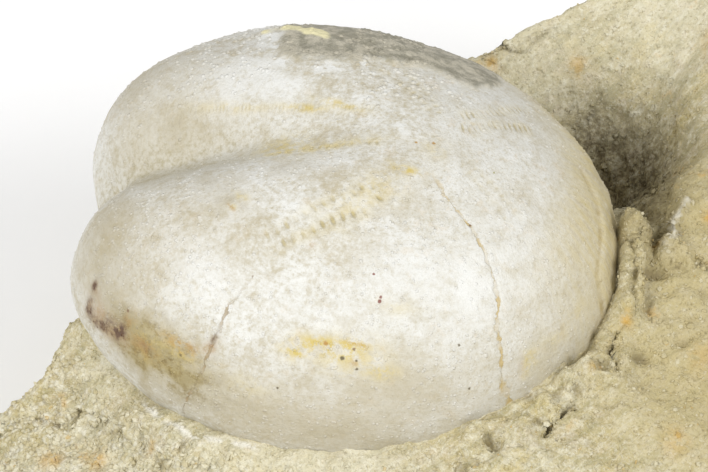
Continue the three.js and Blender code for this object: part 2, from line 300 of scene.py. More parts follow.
ROCK_STAINS = np.array([
    # x, y, radius and strength of rusty spots
    [17.3, -7.9, 0.4, 1.0], [24.0, 1.5, 0.5, 1.0], [19.8, -1.0, 0.35, 0.7], [26.5, 20, 1.4, 1.0],
    [8.2, 20.8, 0.5, 0.8], [15.1, 21.0, 0.7, 0.6], [-25, -15.4, 0.8, 0.8], [-21.6, -16.0, 0.7, 0.8],
    [-17.5, -16.2, 0.4, 0.5],
    [20.6, -17.2, 0.9, 0.5], [14.8, -12.2, 0.4, 0.5], [22.8, -10.2, 1.2, 0.35],
])
HOLLOW_SHADE_SPOTS = np.array([
    # x, y, radius and strength of dark brown painted shade in the hollow and in the trough by the
    # collar
    [19.0, 12.0, 2.8, 1.0], [17.6, 15.0, 2.8, 0.75], [15.4, 17.6, 2.6, 0.6], [20.2, 7.4, 2.4, 0.7],
    [22.0, 14.0, 4.5, 0.2], [18.4, 4.2, 2.2, 0.7], [19.8, -0.8, 0.9, 0.6], [20.2, 1.0, 1.0, 0.5],
    [19.4, -2.4, 0.6, 0.3], [17.9, -0.6, 1.1, 0.35], [17.4, 2.0, 1.3, 0.6],
    [21.5, 10.0, 3.0, 0.15], [21.0, 3.0, 1.6, 0.3],
])
ROCK_TINTS = np.array([
    # x, y, radius and strength of paler places (or darker ones, below zero); the darker places at the
    # collar and right of it are painted shade
    [-25, -16, 7, 0.8], [-12, -22, 6, 0.9], [22, 24, 9, 0.6], [10, 21.5, 5, 0.5],
    [-3, -20, 4.5, 1.0], [-27, -12.5, 3, -0.7], [24, -12, 8, -1.7], [21, 0, 4.5, -1.2],
    [22, 7, 5, -0.9], [17.9, -1.0, 1.2, -0.8],
])
ROCK_SPOKES = 640
SOCKET_ROWS = 8
TOP_ROWS = 92
SIDE_ROWS = 42
UNDERSIDE_ROWS = 6
LAST_TOP = SOCKET_ROWS + TOP_ROWS
FIRST_BELOW = LAST_TOP + SIDE_ROWS
GRAIN_MESHES = 5
GRAINS_EACH = 8000
GRAIN_RADII = (0.08, 0.2)

# ---- colours ----

CHALK_WHITE = (0.66, 0.65, 0.595)
CHALK_PALE = (0.755, 0.755, 0.72)
# the colour of the painted highlights
CHALK_HIGHLIGHT_TONE = (0.745, 0.745, 0.715)
CHALK_BEIGE = (0.51, 0.468, 0.355)
CHALK_ROSY = (0.66, 0.55, 0.40)
CHALK_TAN = (0.43, 0.37, 0.235)
# painted shade for the near wall of the groove
GROOVE_SHADE_GREY = (0.36, 0.335, 0.25)
# olive specks in the groove: partly dirt, partly painted shade
GROOVE_OLIVE = (0.33, 0.285, 0.15)
STRAW = (0.56, 0.47, 0.24)
STRAW_BROWN = (0.42, 0.33, 0.16)
CREASE_BROWN = (0.38, 0.29, 0.12)
PORE_BROWN = (0.42, 0.34, 0.14)
OCHRE_TONE = (0.58, 0.46, 0.15)
RUST_TONE = (0.38, 0.21, 0.06)
MANGANESE_TONE = (0.11, 0.055, 0.025)
MANGANESE_RIM = (0.40, 0.29, 0.15)
DRAB_TONE = (0.35, 0.29, 0.15)
DRAB_SPECK = (0.24, 0.18, 0.07)
LAYER_DARK = (0.28, 0.262, 0.195)
LAYER_PALE = (0.53, 0.49, 0.385)
LENS_YELLOW = (0.80, 0.74, 0.46)
CRACK_LOOKS = [
    # for the front and the rear crack: where it fades out, half width, widening below, colour
    (0.6, 0.06, 1.0, (0.34, 0.25, 0.13)),
    (0.48, 0.095, 2.4, (0.50, 0.37, 0.14)),
]
DOT_TONES = {
    "red": (0.20, 0.05, 0.03),
    "dark": (0.10, 0.075, 0.03),
    "brown": (0.20, 0.12, 0.06),
    "orange": (0.42, 0.23, 0.05),
    "green": (0.28, 0.26, 0.06),
}
LIMESTONE_CREAM = (0.61, 0.55, 0.36)
LIMESTONE_PALE = (0.78, 0.75, 0.605)
LIMESTONE_ROSY = (0.68, 0.60, 0.46)
LIMESTONE_OLIVE = (0.38, 0.345, 0.185)
LIMESTONE_TAN = (0.50, 0.42, 0.215)
LIMESTONE_BROWN = (0.22, 0.17, 0.08)
LIMESTONE_YELLOW = (0.62, 0.50, 0.19)
GRAIN_WHITE = (0.82, 0.80, 0.70)
VEIN_BROWN = (0.40, 0.32, 0.15)
IRON_ORANGE = (0.60, 0.36, 0.07)
LINE_WHITE = (0.84, 0.82, 0.74)
# dark painted shade for the hollow and the trough by the collar
HOLLOW_SHADE_TONE = (0.11, 0.085, 0.045)
CARD_SHADED = (0.97, 0.97, 0.97)
CARD_WHITE = (0.985, 0.985, 0.985)
BUMP_HEIGHT = 0.00014  # in metres


# ---- stage, light and camera ----

FLOOR_HALF = 1.5  # in metres
LIGHT_DISTANCE = 600
LIGHT_SIZE = 0.30  # in metres
LIGHT_POWER = 1.78
LEFT_LIGHT = (-0.63, -0.40, 0.67)  # direction from the middle of the test
RIGHT_LIGHT = (0.60, -0.45, 0.68)
SURROUNDING_LIGHT = 0.575
CAMERA_ELEVATION = 49.0
CAMERA_DISTANCE = 270
CAMERA_ASIDE = -2.71
CAMERA_RAISED = 2.39
CAMERA_LENS = 181.5


# ---- noise ----

def corner_values(cells, seed):
    """One value from 0 to 1 for each whole-number cell, by multiplying and folding its bits."""
    primes = np.array([73856093, 19349663, 83492791], np.int64)
    mixed = (cells.astype(np.int64) * primes).sum(-1) + seed * 2654435761
    mixed = (mixed ^ (mixed >> 13)) * 1274126177
    mixed = mixed ^ (mixed >> 16)
    return (mixed & 0xFFFFF) / 0xFFFFF


def noise(points, size, seed=0):
    """Smooth noise from -1 to 1: random values on the corners of cubes, eased in between."""
    place = points / size
    cells = np.floor(place).astype(np.int64)
    share = place - cells
    share = share * share * (3 - 2 * share)
    total = np.zeros(points.shape[:-1])
    for corner in itertools.product((0, 1), repeat=3):
        weight = np.prod(np.where(np.array(corner) == 1, share, 1 - share), axis=-1)
        total += weight * corner_values(cells + np.array(corner), seed)
    return 2 * total - 1


def layered_noise(points, size, layers, seed=0):
    """Noise plus finer and weaker noise, each layer half as large as the one before."""
    total = np.zeros(points.shape[:-1])
    for layer in range(layers):
        total += noise(points, size / 2**layer, seed + layer) / 2**layer
    return total


def leaning_facets(points, size, seed):
    """Broken facets: around scattered points lie planes that lean at random, as in split rock."""
    place = points / size
    home = np.floor(place).astype(np.int64)
    nearest = np.full(points.shape[:-1], 9.0)
    height = np.zeros(points.shape[:-1])
    for step in itertools.product((-1, 0, 1), repeat=3):
        cell = home + np.array(step)
        jitter = np.stack([corner_values(cell, seed + axis) for axis in (1, 2, 3)], -1)
        lean = np.stack([corner_values(cell, seed + axis) for axis in (4, 5, 6)], -1) - 0.5
        offset = place - (cell + jitter)
        distance = (offset**2).sum(-1)
        closer = distance < nearest
        height = np.where(closer, (offset * lean).sum(-1), height)
        nearest = np.where(closer, distance, nearest)
    return height


# ---- small formulas ----

def smooth(value):
    """0 below zero and 1 above one, eased in between by the cubic 3v2 - 2v3."""
    value = np.clip(value, 0, 1)
    return value * value * (3 - 2 * value)


def mix(a, b, share):
    """From `a` to `b` in a straight line, by `share`."""
    return a + (b - a) * share


def bell(value, middle, spread):
    """1 at `middle`, falling to both sides as e to minus the square of the distance in spreads."""
    return np.exp(-(((value - middle) / spread) ** 2))


def turned(direction, middle):
    """Degrees from `middle` to `direction`, the short way round."""
    return np.mod(np.degrees(direction) - middle + 180, 360) - 180


def path_place(points, path):
    """How far each point lies off a path of straight stretches, and how far along it."""
    nearest = np.full(points.shape[:-1], 99.0)
    along = np.zeros(points.shape[:-1])
    passed = 0.0
    for start, end in zip(path[:-1], path[1:]):
        stretch = end - start
        length = np.linalg.norm(stretch)
        share = np.clip(((points - start) @ stretch) / length**2, 0, 1)
        off = np.linalg.norm(points - start - share[..., None] * stretch, axis=-1)
        along = np.where(off < nearest, passed + share * length, along)
        nearest = np.minimum(nearest, off)
        passed += length
    return nearest, along


def path_distance(points, path):
    """How far each point lies off a path of straight stretches."""
    return path_place(points, path)[0]


def turn_matrix(axis, degrees):
    """The matrix that turns points about x (0), y (1) or z (2), by the right-hand rule."""
    cos, sin = np.cos(np.radians(degrees)), np.sin(np.radians(degrees))
    first, second = (axis + 1) % 3, (axis + 2) % 3
    matrix = np.eye(3)
    matrix[first, first] = matrix[second, second] = cos
    matrix[first, second] = -sin
    matrix[second, first] = sin
    return matrix


# ---- the test's shape ----

def outline_reach(direction):
    """Distance from the apex axis to an ellipse whose centre lies ahead of the axis."""
    cos = np.cos(direction)
    sin = np.sin(direction)
    a = (cos / HALF_LENGTH) ** 2 + (sin / HALF_WIDTH) ** 2
    b = -2 * APEX_SETBACK * cos / HALF_LENGTH**2
    c = (APEX_SETBACK / HALF_LENGTH) ** 2 - 1
    reach = (-b + np.sqrt(b * b - 4 * a * c)) / (2 * a)
    behind = np.clip((APEX_SETBACK - reach * cos) / HALF_LENGTH, 0, 1)
    return reach * (1 - REAR_TAPER * behind**2 * np.abs(sin))


def ring_reach(direction, down):
    """Distance from the apex axis at any level: the outline, drawn in by a superellipse."""
    return outline_reach(direction) * np.abs(np.sin(np.pi * down)) ** (2 / SQUARENESS)


def rounded_test(direction, down):
    """The test without its groove: a superellipse in profile, spread to its outline in plan."""
    level = np.cos(np.pi * down)
    height = np.abs(level) ** (2 / SQUARENESS)
    reach = ring_reach(direction, down)
    x = reach * np.cos(direction)
    y = reach * np.sin(direction)
    upper = CROWN_HEIGHT * height - CROWN_SLOPE * x * np.abs(level)
    return np.stack([x, y, np.where(level < 0, -BASE_DEPTH * height, upper)], -1)


def rounded_normal(direction, down):
    """The outward normal of the rounded test: the cross product of small steps on it."""
    step = 1e-3
    inside = np.clip(down, 2 * step, 1 - 2 * step)
    around = rounded_test(direction + step, inside) - rounded_test(direction - step, inside)
    along = rounded_test(direction, inside + step) - rounded_test(direction, inside - step)
    normal = np.cross(along, around)
    return normal / np.linalg.norm(normal, axis=-1, keepdims=True)


def groove_depth(point):
    """A valley from the apex to the front margin, rounded across, running out underneath."""
    x, y, z = point[..., 0], point[..., 1], point[..., 2]
    forward = np.clip(x / (APEX_SETBACK + HALF_LENGTH), 0, 1)
    near = y > 0
    half_width = np.where(near, mix(*GROOVE_NEAR_WIDTHS, forward), mix(*GROOVE_FAR_WIDTHS, forward))
    near_power, far_power = mix(*GROOVE_NEAR_ROUNDNESS, forward), mix(*GROOVE_FAR_ROUNDNESS, forward)
    roundness = np.where(near, near_power, far_power)
    lengthwise = smooth(forward / GROOVE_FULL_AT)
    fade_depth = BASE_DEPTH * GROOVE_FADES_BELOW
    underneath = np.clip((z + fade_depth) / fade_depth, 0, 1)
    across = np.exp(-(np.abs(y / half_width) ** roundness))
    return GROOVE_DEPTH * lengthwise * underneath * across


def swell_height(direction, down):
    """The swelling on the far lobe: a bell around the test times a bell down it."""
    aside = bell(turned(direction, SWELL_DIRECTION), 0, SWELL_SPREAD)
    return SWELL_HEIGHT * aside * bell(down, SWELL_DOWN, SWELL_DOWN_SPREAD)


test_tilt = turn_matrix(1, TEST_TIP) @ turn_matrix(2, 180 - TEST_TURN)


def test_point(direction, down, outside=0.0):
    """A point of the tilted test, `outside` millimetres off its surface."""
    point = rounded_test(direction, down)
    away = outside + swell_height(direction, down) - groove_depth(point)
    point = point + rounded_normal(direction, down) * np.asarray(away)[..., None]
    return point @ test_tilt.T


def place_in_frame():
    """The middle of the test in the frame: the shape's own box laid on the CAD node's box."""
    direction, down = np.meshgrid(np.linspace(0, TAU, 361), np.linspace(0, 1, 181))
    points = test_point(direction, down)
    low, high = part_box("urchin_test")
    middle = (np.array(low) + np.array(high)) / 2 / MM
    middle[2] = ROCK_DEPTH + (points[..., 2].min() + points[..., 2].max()) / 2
    return middle - (points.min((0, 1)) + points.max((0, 1))) / 2


test_middle = place_in_frame()


# ---- meshes ----

def finished_piece(name, points, faces, attributes, material, rounded=True):
    """A piece from points around the middle of the test, faces and one value for each point."""
    mesh = bpy.data.meshes.new(name)
    mesh.from_pydata(((points + test_middle) * MM).tolist(), [], faces)
    for label, values in attributes.items():
        if values.ndim == 1:
            mesh.attributes.new(label, "FLOAT", "POINT").data.foreach_set("value", values)
        else:
            layer = mesh.attributes.new(label, "FLOAT_VECTOR", "POINT")
            layer.data.foreach_set("vector", values.ravel())
    mesh.polygons.foreach_set("use_smooth", np.full(len(mesh.polygons), rounded))
    mesh.update()
    mesh.materials.append(material)
    piece = bpy.data.objects.new(name, mesh)
    bpy.context.scene.collection.objects.link(piece)
    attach(piece, "root")
    return piece


def skin_faces(rows, columns):
    """Faces of a closed skin: point 0, rows of rings, and the last point. Rings run anticlockwise
    when they are seen from point 0."""
    here = np.arange(columns)
    after = np.roll(here, -1)
    upper = 1 + np.arange(rows - 1)[:, None] * columns
    lower = upper + columns
    quads = np.stack([upper + here, lower + here, lower + after, upper + after], -1)
    final = 1 + (rows - 1) * columns
    first_fan = np.stack([0 * here, 1 + here, 1 + after], -1)
    last_fan = np.stack([final + here, 0 * here + final + columns, final + after], -1)
    return quads.reshape(-1, 4), np.concatenate([first_fan, last_fan])


def with_ends(rings, first, last):
    """Ring values in one list, with the values of the two end points around them."""
    return np.concatenate([[first], rings.reshape((-1,) + rings.shape[2:]), [last]])


def attributes_with_ends(attributes):
    """Ring attributes in one list each; an end takes the value of the ring next to it."""
    return {name: with_ends(rings, rings[0, 0], rings[-1, 0]) for name, rings in attributes.items()}


def grid_normals(rings):
    """Outward normals of rows of rings, from the differences to the neighbouring points."""
    around = np.roll(rings, -1, 1) - np.roll(rings, 1, 1)
    normals = np.cross(np.gradient(rings, axis=0), around)
    return normals / np.maximum(np.linalg.norm(normals, axis=-1, keepdims=True), 1e-9)


def scattered(rings, density, count, seed):
    """Random places on a ring surface: points, normals, and the row and column they are in.

    Each cell is chosen with a chance that is its area times its density."""
    across = np.roll(rings, -1, 1)[:-1] - rings[:-1]
    along = rings[1:] - rings[:-1]
    weight = np.linalg.norm(np.cross(along, across), axis=-1) * density[:-1]
    chance = np.random.default_rng(seed)
    cell = chance.choice(weight.size, count, p=(weight / weight.sum()).ravel())
    row, column = np.divmod(cell, rings.shape[1])
    u, v = chance.random((2, count, 1))
    points = rings[row, column] + u * across[row, column] + v * along[row, column]
    return points, grid_normals(rings)[row, column], row, column


def lumps(points, normals, sizes, unevenness, seed):
    """Many small closed lumps, each an ellipsoid of two rings between two ends.

    `sizes` holds two half widths along the surface and one half height across it; every
    corner is moved in or out at random by `unevenness`."""
    chance = np.random.default_rng(seed)
    count = len(points)
    angle = np.arange(LUMP_SIDES) / LUMP_SIDES * TAU
    circle = np.stack([np.cos(angle), np.sin(angle), 0 * angle], -1)
    rings = [np.sin(tip) * circle + [0, 0, np.cos(tip)] for tip in (np.pi / 3, np.pi / 1.5)]
    shape = np.concatenate([[[0, 0, 1]], *rings, [[0, 0, -1]]])
    helper = np.where(np.abs(normals[:, 2:]) < 0.9, [[0.0, 0, 1]], [[1.0, 0, 0]])
    side = np.cross(helper, normals)
    side /= np.linalg.norm(side, axis=-1, keepdims=True)
    other = np.cross(normals, side)
    spin = chance.random((count, 1)) * TAU
    axes = np.stack([
        np.cos(spin) * side + np.sin(spin) * other,
        np.cos(spin) * other - np.sin(spin) * side,
        normals,
    ], 1)
    radius = 1 + unevenness * (2 * chance.random((count, len(shape), 1)) - 1)
    local = shape * radius * sizes[:, None]
    corners = points[:, None] + np.einsum("nkc,ncd->nkd", local, axes)
    first = (np.arange(count) * len(shape))[:, None, None]
    quads, fans = skin_faces(2, LUMP_SIDES)
    faces = (first + quads).reshape(-1, 4).tolist() + (first + fans).reshape(-1, 3).tolist()
    return corners.reshape(-1, 3), faces, len(shape)


# ---- the test's fine relief ----

def pore_place(points):
    """Where a place lies in the nearest pore row: pores counted along it, pore half lengths off
    its middle, and how strongly the pores show."""
    best = np.full(points.shape[:-1], 99.0)
    place = np.zeros(points.shape)
    for pitch, length, strength, row in PORE_ROWS:
        off, along = path_place(points, surface_path(np.array(row)))
        shown = smooth(along / pitch) * smooth((along.max() - along) / pitch)
        shown = shown * smooth(3 - off / length)
        values = np.stack([along / pitch, off / length, strength * shown], -1)
        closer = off < best
        best = np.where(closer, off, best)
        place = np.where(closer[..., None], values, place)
    return place


def pore_depth(place):
    """1 in the middle of a pore and 0 outside its oval."""
    along = (place[..., 0] - np.round(place[..., 0])) / PORE_HALF_WIDTH
    return place[..., 2] * smooth(1.3 - np.hypot(along, place[..., 1]))


def crack_offset(direction, down, crack):
    """Millimetres off a crack, to one side or the other, and 9 on the test's other side."""
    middle = np.interp(down, crack[:, 1], crack[:, 0])
    turn = np.radians(turned(direction, middle))
    return np.where(np.cos(turn) > 0.1, np.sin(turn) * ring_reach(direction, down), 9.0)


def rear_layer(direction, down):
    """1 on the thin straw-coloured layer that lies past the fold at the rear, 0 elsewhere."""
    fold_direction = np.interp(down, REAR_FOLD[:, 1], REAR_FOLD[:, 0] % 360)
    past = np.mod(np.degrees(direction), 360) - fold_direction
    return smooth(0.5 + past / 9) * smooth((70 - past) / 40) * smooth((down - 0.2) / 0.08)


def stain(direction, down, rows):
    """The sum of oval spots that fade outwards, in millimetres across and along the test."""
    total = np.zeros(direction.shape)
    for middle, middle_down, width, length, strength in rows:
        across = np.radians(turned(direction, middle)) * ring_reach(direction, down)
        along = (down - middle_down) * MERIDIAN_LENGTH
        total += strength * np.exp(-((across / width) ** 2) - (along / length) ** 2)
    return total


def slab_place(direction, down):
    """Millimetres inside the edge of the grey layer on the far flank, negative outside."""
    plan = rounded_test(direction, np.minimum(down, 0.5))
    ragged = 0.5 * noise(plan, 2.2, 31) + 0.3 * noise(plan, 0.8, 32)
    edge = np.interp(plan[..., 0], SLAB_EDGE[:, 0], SLAB_EDGE[:, 1])
    bays = 3.4 * layered_noise(plan, 4.0, 2, 33) * smooth((9 - plan[..., 2]) / 6)
    ends = np.minimum(plan[..., 0] + 5.1, (12.4 - plan[..., 0]) * 0.8) + bays
    return np.minimum(edge - plan[..., 1], ends) + ragged


def surface_path(path):
    """The points on the test of a path that is given as directions in degrees and downs."""
    return test_point(np.radians(path[:, 0]), path[:, 1])


class TestField:
    """Everything that the test's relief, tubercles and colours need to know about its places."""

    def __init__(self, direction, down):
        self.direction = direction
        self.down = down
        self.plain = test_point(direction, down)
        self.groove = groove_depth(rounded_test(direction, down)) / GROOVE_DEPTH
        self.pores = pore_place(self.plain)
        self.front_crack = crack_offset(direction, down, FRONT_CRACK)
        self.rear_crack = crack_offset(direction, down, REAR_CRACK)
        self.rear_layer = rear_layer(direction, down)
        self.slab = slab_place(direction, down)
        self.fold = path_distance(self.plain, surface_path(REAR_FOLD))
        off_lens = path_distance(self.plain, surface_path(CALCITE_LENS))
        self.lens = bell(off_lens + 0.6 * layered_noise(self.plain, 1.2, 2, 35), 0, LENS_HALF_WIDTH)

    def relief(self):
        """Height over the smooth shape, in millimetres."""
        plain = self.plain
        relief = 0.1 * layered_noise(plain, 7.0, 3, 11) + 0.022 * layered_noise(plain, 0.9, 2, 15)
        relief += stain(self.direction, self.down, CROWN_SWELLS)
        relief -= PORE_DEPTH * pore_depth(self.pores)
        raised = smooth(self.slab / 0.7)
        relief += raised * (SLAB_HEIGHT + SLAB_ROUGHNESS * layered_noise(plain, 1.3, 3, 21))
        relief += LENS_HEIGHT * self.lens
        relief -= FOLD_DEPTH * bell(self.fold, 0, FOLD_HALF_WIDTH)
        relief += REAR_LAYER_HEIGHT * self.rear_layer * (1 + 0.4 * layered_noise(plain, 1.6, 3, 25))
        for offset, crack in ((self.front_crack, FRONT_CRACK), (self.rear_crack, REAR_CRACK)):
            shown = smooth((self.down - crack[0][1]) / 0.02) * smooth((crack[-1][1] - self.down) / 0.02)
            relief -= CRACK_DEPTH * shown * bell(offset, 0, CRACK_HALF_WIDTH)
        return relief

    def attributes(self):
        """What the colours need: the places of pores, cracks, layer and streaks, and how strong
        the stains, zones (groove, rear, drab) and shades (painted shade on the groove's near wall,
        painted highlights, beige places that are partly painted shade) are."""
        direction, down = self.direction, self.down
        circle = np.stack([np.cos(direction), np.sin(direction)], -1) * 20
        rear = bell(turned(direction, -176), 0, 36) * smooth((down - 0.15) / 0.1)
        rear = np.maximum(0.9 * rear, 0.9 * self.rear_layer)
        flakes = bell(self.slab, -0.4, 0.7) * smooth((4 - self.plain[..., 0]) / 6)
        spots = [stain(direction, down, rows) for rows in (OCHRE, RUST, MANGANESE, PAINTED_HIGHLIGHTS, BEIGE)]
        # painted shade: the groove's near wall, which faces away from the lights, is darkened
        near_wall_shade = smooth(self.groove / 0.9) * smooth(0.5 + rounded_test(direction, down)[..., 1] / 5)
        return {
            "pores": self.pores,
            "cracks": np.stack([self.front_crack, self.rear_crack, self.fold], -1),
            "circle_down": np.concatenate([circle, down[..., None] * MERIDIAN_LENGTH], -1),
            "stains": np.stack(spots[:3], -1),
            "zones": np.stack([self.groove, rear, stain(direction, down, DRAB)], -1),
            "layer": np.stack([self.slab, self.lens, flakes], -1),
            "shades": np.stack([near_wall_shade, *spots[3:]], -1),
        }


def test_grid():
    """Directions and downs of the test's mesh: close meridians at the front groove, and rows
    that are close on the crown and sparse in the socket."""
    turn = np.linspace(0, TAU, TEST_MERIDIANS, endpoint=False)
    row = np.arange(1, TEST_ROW_STOPS[-1])
    down = np.interp(row, TEST_ROW_STOPS, TEST_DOWN_STOPS)
    return np.meshgrid(turn - FRONT_CROWDING * np.sin(turn), down)


def build_test():
    """The test: its smooth shape lifted along its normals by the fine relief."""
    field = TestField(*test_grid())
    rings = test_point(field.direction, field.down, field.relief())
    first_end, last_end = test_point(np.zeros(2), np.array([0.0, 1.0]))
    quads, fans = skin_faces(*rings.shape[:2])
    material = test_material()
    piece = finished_piece(
        "urchin_test_surface",
        with_ends(rings, first_end, last_end),
        quads.tolist() + fans.tolist(),
        attributes_with_ends(field.attributes()),
        material,
    )
    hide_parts("urchin_test")
    return field, rings, material


def build_tubercles(field, rings, material):
    """Low round tubercles, closest on the front lobes and widest on the far flank."""
    degrees = turned(field.direction, 0)
    out_of_rock = smooth((0.56 - field.down) / 0.05) * smooth((field.down - 0.03) / 0.05)
    near_front = bell(degrees, 38, 30) * smooth((field.down - 0.2) / 0.1)
    far = bell(degrees, -70, 55)
    density = out_of_rock * (0.4 + 0.7 * near_front + 0.6 * far + 0.3 * bell(degrees, 100, 30))
    density *= smooth(1.2 * noise(field.plain, 4.0, 111) + 0.7) * (1 - 0.9 * pore_depth(field.pores))
    density *= 1 - 0.8 * smooth((field.groove - 0.3) / 0.4)
    points, normals, row, column = scattered(rings, density, TUBERCLES, 7)
    radius = mix(*TUBERCLE_RADII, np.random.default_rng(8).random(TUBERCLES))
    radius = radius * (1 + 0.8 * far[row, column])
    sizes = np.stack([radius, radius, 0.6 * radius], -1)
    corners, faces, each = lumps(points - 0.27 * radius[:, None] * normals, normals, sizes, 0.1, 9)
    looks = field.attributes()
    # the tubercles are made paler through the painted-highlight channel
    looks["shades"][..., 1] += 0.3
    attributes = {
        label: np.repeat(values[row, column], each, axis=0) for label, values in looks.items()
    }
    finished_piece("urchin_tubercles", corners, faces, attributes, material)


# ---- the rock's shape ----

def through_corners(place, column, turn=0.0):
    """A smooth closed curve through the rock's corners; `place` counts corners."""
    count = len(ROCK_CORNERS)
    start = np.floor(place).astype(int)

    def value(index):
        laps = np.floor_divide(index, count)
        return ROCK_CORNERS[index - laps * count, column] + laps * turn

    before, here, to, after = [value(start + step) for step in (-1, 0, 1, 2)]
    t = place - start
    bend = 2 * before - 5 * here + 4 * to - after
    twist = 3 * here - before - 3 * to + after
    return here + 0.5 * t * (to - before + t * (bend + t * twist))


def row_shares(rows):
    """Equal steps up to 1, one for each row of rings."""
    return (np.arange(1, rows + 1) / rows)[:, None]


def socket_rings(degrees, lip):
    """Up under the test, a little clear of it, to the ragged lip where the rock meets it."""
    direction = np.radians(degrees)
    lip = lip + 0.012 * layered_noise(test_point(direction, lip), 2.4, 4, 41)
    lip = lip + 0.005 * noise(test_point(direction, lip), 0.8, 46)
    climb = row_shares(SOCKET_ROWS)
    gap = mix(SOCKET_GAP, LIP_GAP, climb**2) + 0 * lip
    return test_point(direction + 0 * climb, mix(1.0, lip, climb), gap)


def top_rings(shore, edge, degrees):
    """Straight spokes from the lip to the broken edge, their heights falling as a power, with
    the shape of the top added. Gives the rings and their distances from the test."""
    share = row_shares(TOP_ROWS) ** TOP_FALL_POWER
    top = mix(shore, edge, share[..., None])
    top[..., 2] = mix(shore[:, 2], edge[:, 2], share**TOP_FALL_POWER)
    distance = np.hypot(*(edge - shore)[:, :2].T) * share
    top[..., 2] += top_shape(top, degrees, distance, share)
    return top, distance


def side_rings(edge):
    """Down from the broken edge, standing out and drawing in by the side's profile."""
    fall = row_shares(SIDE_ROWS)
    stand_out = np.interp(fall, SIDE_PROFILE[:, 0], SIDE_PROFILE[:, 1])
    outward = edge[:, :2] / np.linalg.norm(edge[:, :2], axis=-1, keepdims=True)
    side = np.repeat(edge[None], SIDE_ROWS, 0)
    side[..., :2] += outward * stand_out[..., None]
    side[..., 2] = mix(edge[:, 2], -ROCK_DEPTH, fall)
    return side


def underside_rings(outer):
    """Flat rings that shrink from the outer one towards the middle."""
    inward = np.arange(1, UNDERSIDE_ROWS + 1) / (UNDERSIDE_ROWS + 1)
    underside = outer * (1 - inward[:, None, None])
    underside[..., 2] = -ROCK_DEPTH
    return underside


def rock_grid():
    """Rows of rings over the rock: up the socket, over the top, down the side and underneath.

    Gives the smooth rings, the distance of the top rings from the test, and the direction of
    each column in degrees."""
    place = np.arange(ROCK_SPOKES) / ROCK_SPOKES * len(ROCK_CORNERS)
    degrees = through_corners(place, 0, 360)
    edge = np.stack([through_corners(place, column) for column in (2, 3, 4)], -1)
    socket = socket_rings(degrees, through_corners(place, 1))
    top, distance = top_rings(socket[-1], edge, degrees)
    side = side_rings(edge)
    return np.concatenate([socket, top, side, underside_rings(side[-1])]), distance, degrees


def rock_spots(points, rows):
    """The sum of round spots that fade outwards."""
    total = np.zeros(points.shape[:-1])
    for x, y, radius, strength in rows:
        away = (points[..., 0] - x) ** 2 + (points[..., 1] - y) ** 2
        total += strength * np.exp(-away / radius**2)
    return total


def zone(degrees, name):
    """1 in the middle of one of the rock's zones of directions, a bell to both sides."""
    middle, spread = ZONES[name]
    return bell(turned(np.radians(degrees), middle), 0, spread)


def hollow_depth(points):
    """The deep hollow beside the test, and the trough that leads from it past the collar."""
    across = bell(points[..., 0], TROUGH_MIDDLE[0], TROUGH_SPREAD[0])
    along = bell(points[..., 1], TROUGH_MIDDLE[1], TROUGH_SPREAD[1])
    return rock_spots(points, HOLLOWS) + TROUGH_DEPTH * across * along


def top_shape(top, degrees, distance, share):
    """The ledge in front, the collar behind, the hollow beside the test, and single knobs."""
    ledge = smooth((distance - 1.8) / 3.2) * (1 - share) * zone(degrees, "ledge")
    ramp = distance / COLLAR_WIDTH
    collar = np.maximum(4 * ramp * (1 - ramp), 0) * zone(degrees, "collar")
    height = COLLAR_HEIGHT * collar - LEDGE_DROP * ledge - hollow_depth(top) * (1 - share)
    moat = bell(distance, 0.3, 0.25) * smooth(0.5 + 1.2 * noise(top, 2.5, 45))
    height -= MOAT_DEPTH * moat * zone(degrees, "moat")
    free = smooth(distance / 0.6)
    for x, y, radius, lift in LUMPS:
        away = (top[..., 0] - x) ** 2 + (top[..., 1] - y) ** 2
        height += free * lift * np.exp(-((away / radius**2) ** 2))
    loose = top[..., :2] + 0.25 * np.stack([noise(top, 1.1, seed) for seed in (43, 44)], -1)
    for depth, half_width, path in ROCK_CRACKS:
        height -= free * depth * bell(path_distance(loose, np.array(path)), 0, half_width)
    return height


def rubble_amount(degrees, distance):
    """1 where the rock's top is lumpy rubble, close in front of the test's near and rear side."""
    around = zone(degrees, "near_rubble") + 0.7 * zone(degrees, "rear_rubble")
    return np.minimum(around, 1) * smooth((7.5 - distance) / 3)


def rock_relief(points):
    """Broken facets, lumps and streaks, in millimetres."""
    warped = points + 0.8 * np.stack([noise(points, 3.0, seed) for seed in (51, 52, 53)], -1)
    relief = leaning_facets(warped, 9.0, 61) + 0.4 * leaning_facets(warped, 3.0, 71)
    relief += 0.3 * layered_noise(points, 4.0, 4, 91)
    streak_place = points @ turn_matrix(2, STREAK_TURN) / STREAK_SIZES
    return relief + 0.14 * noise(streak_place, 1.0, 95)


def side_facets(side):
    """Leaning facets over the rock's sides, fading to nothing at their upper and lower edges."""
    flank = np.sin(np.pi * np.linspace(0, 1, SIDE_ROWS)) ** 0.7
    place = side * np.array([1, 1, 1.5])
    broken = 1.3 * leaning_facets(place, 6.0, 131) + 0.6 * leaning_facets(place, 2.4, 141)
    return flank[:, None] * broken


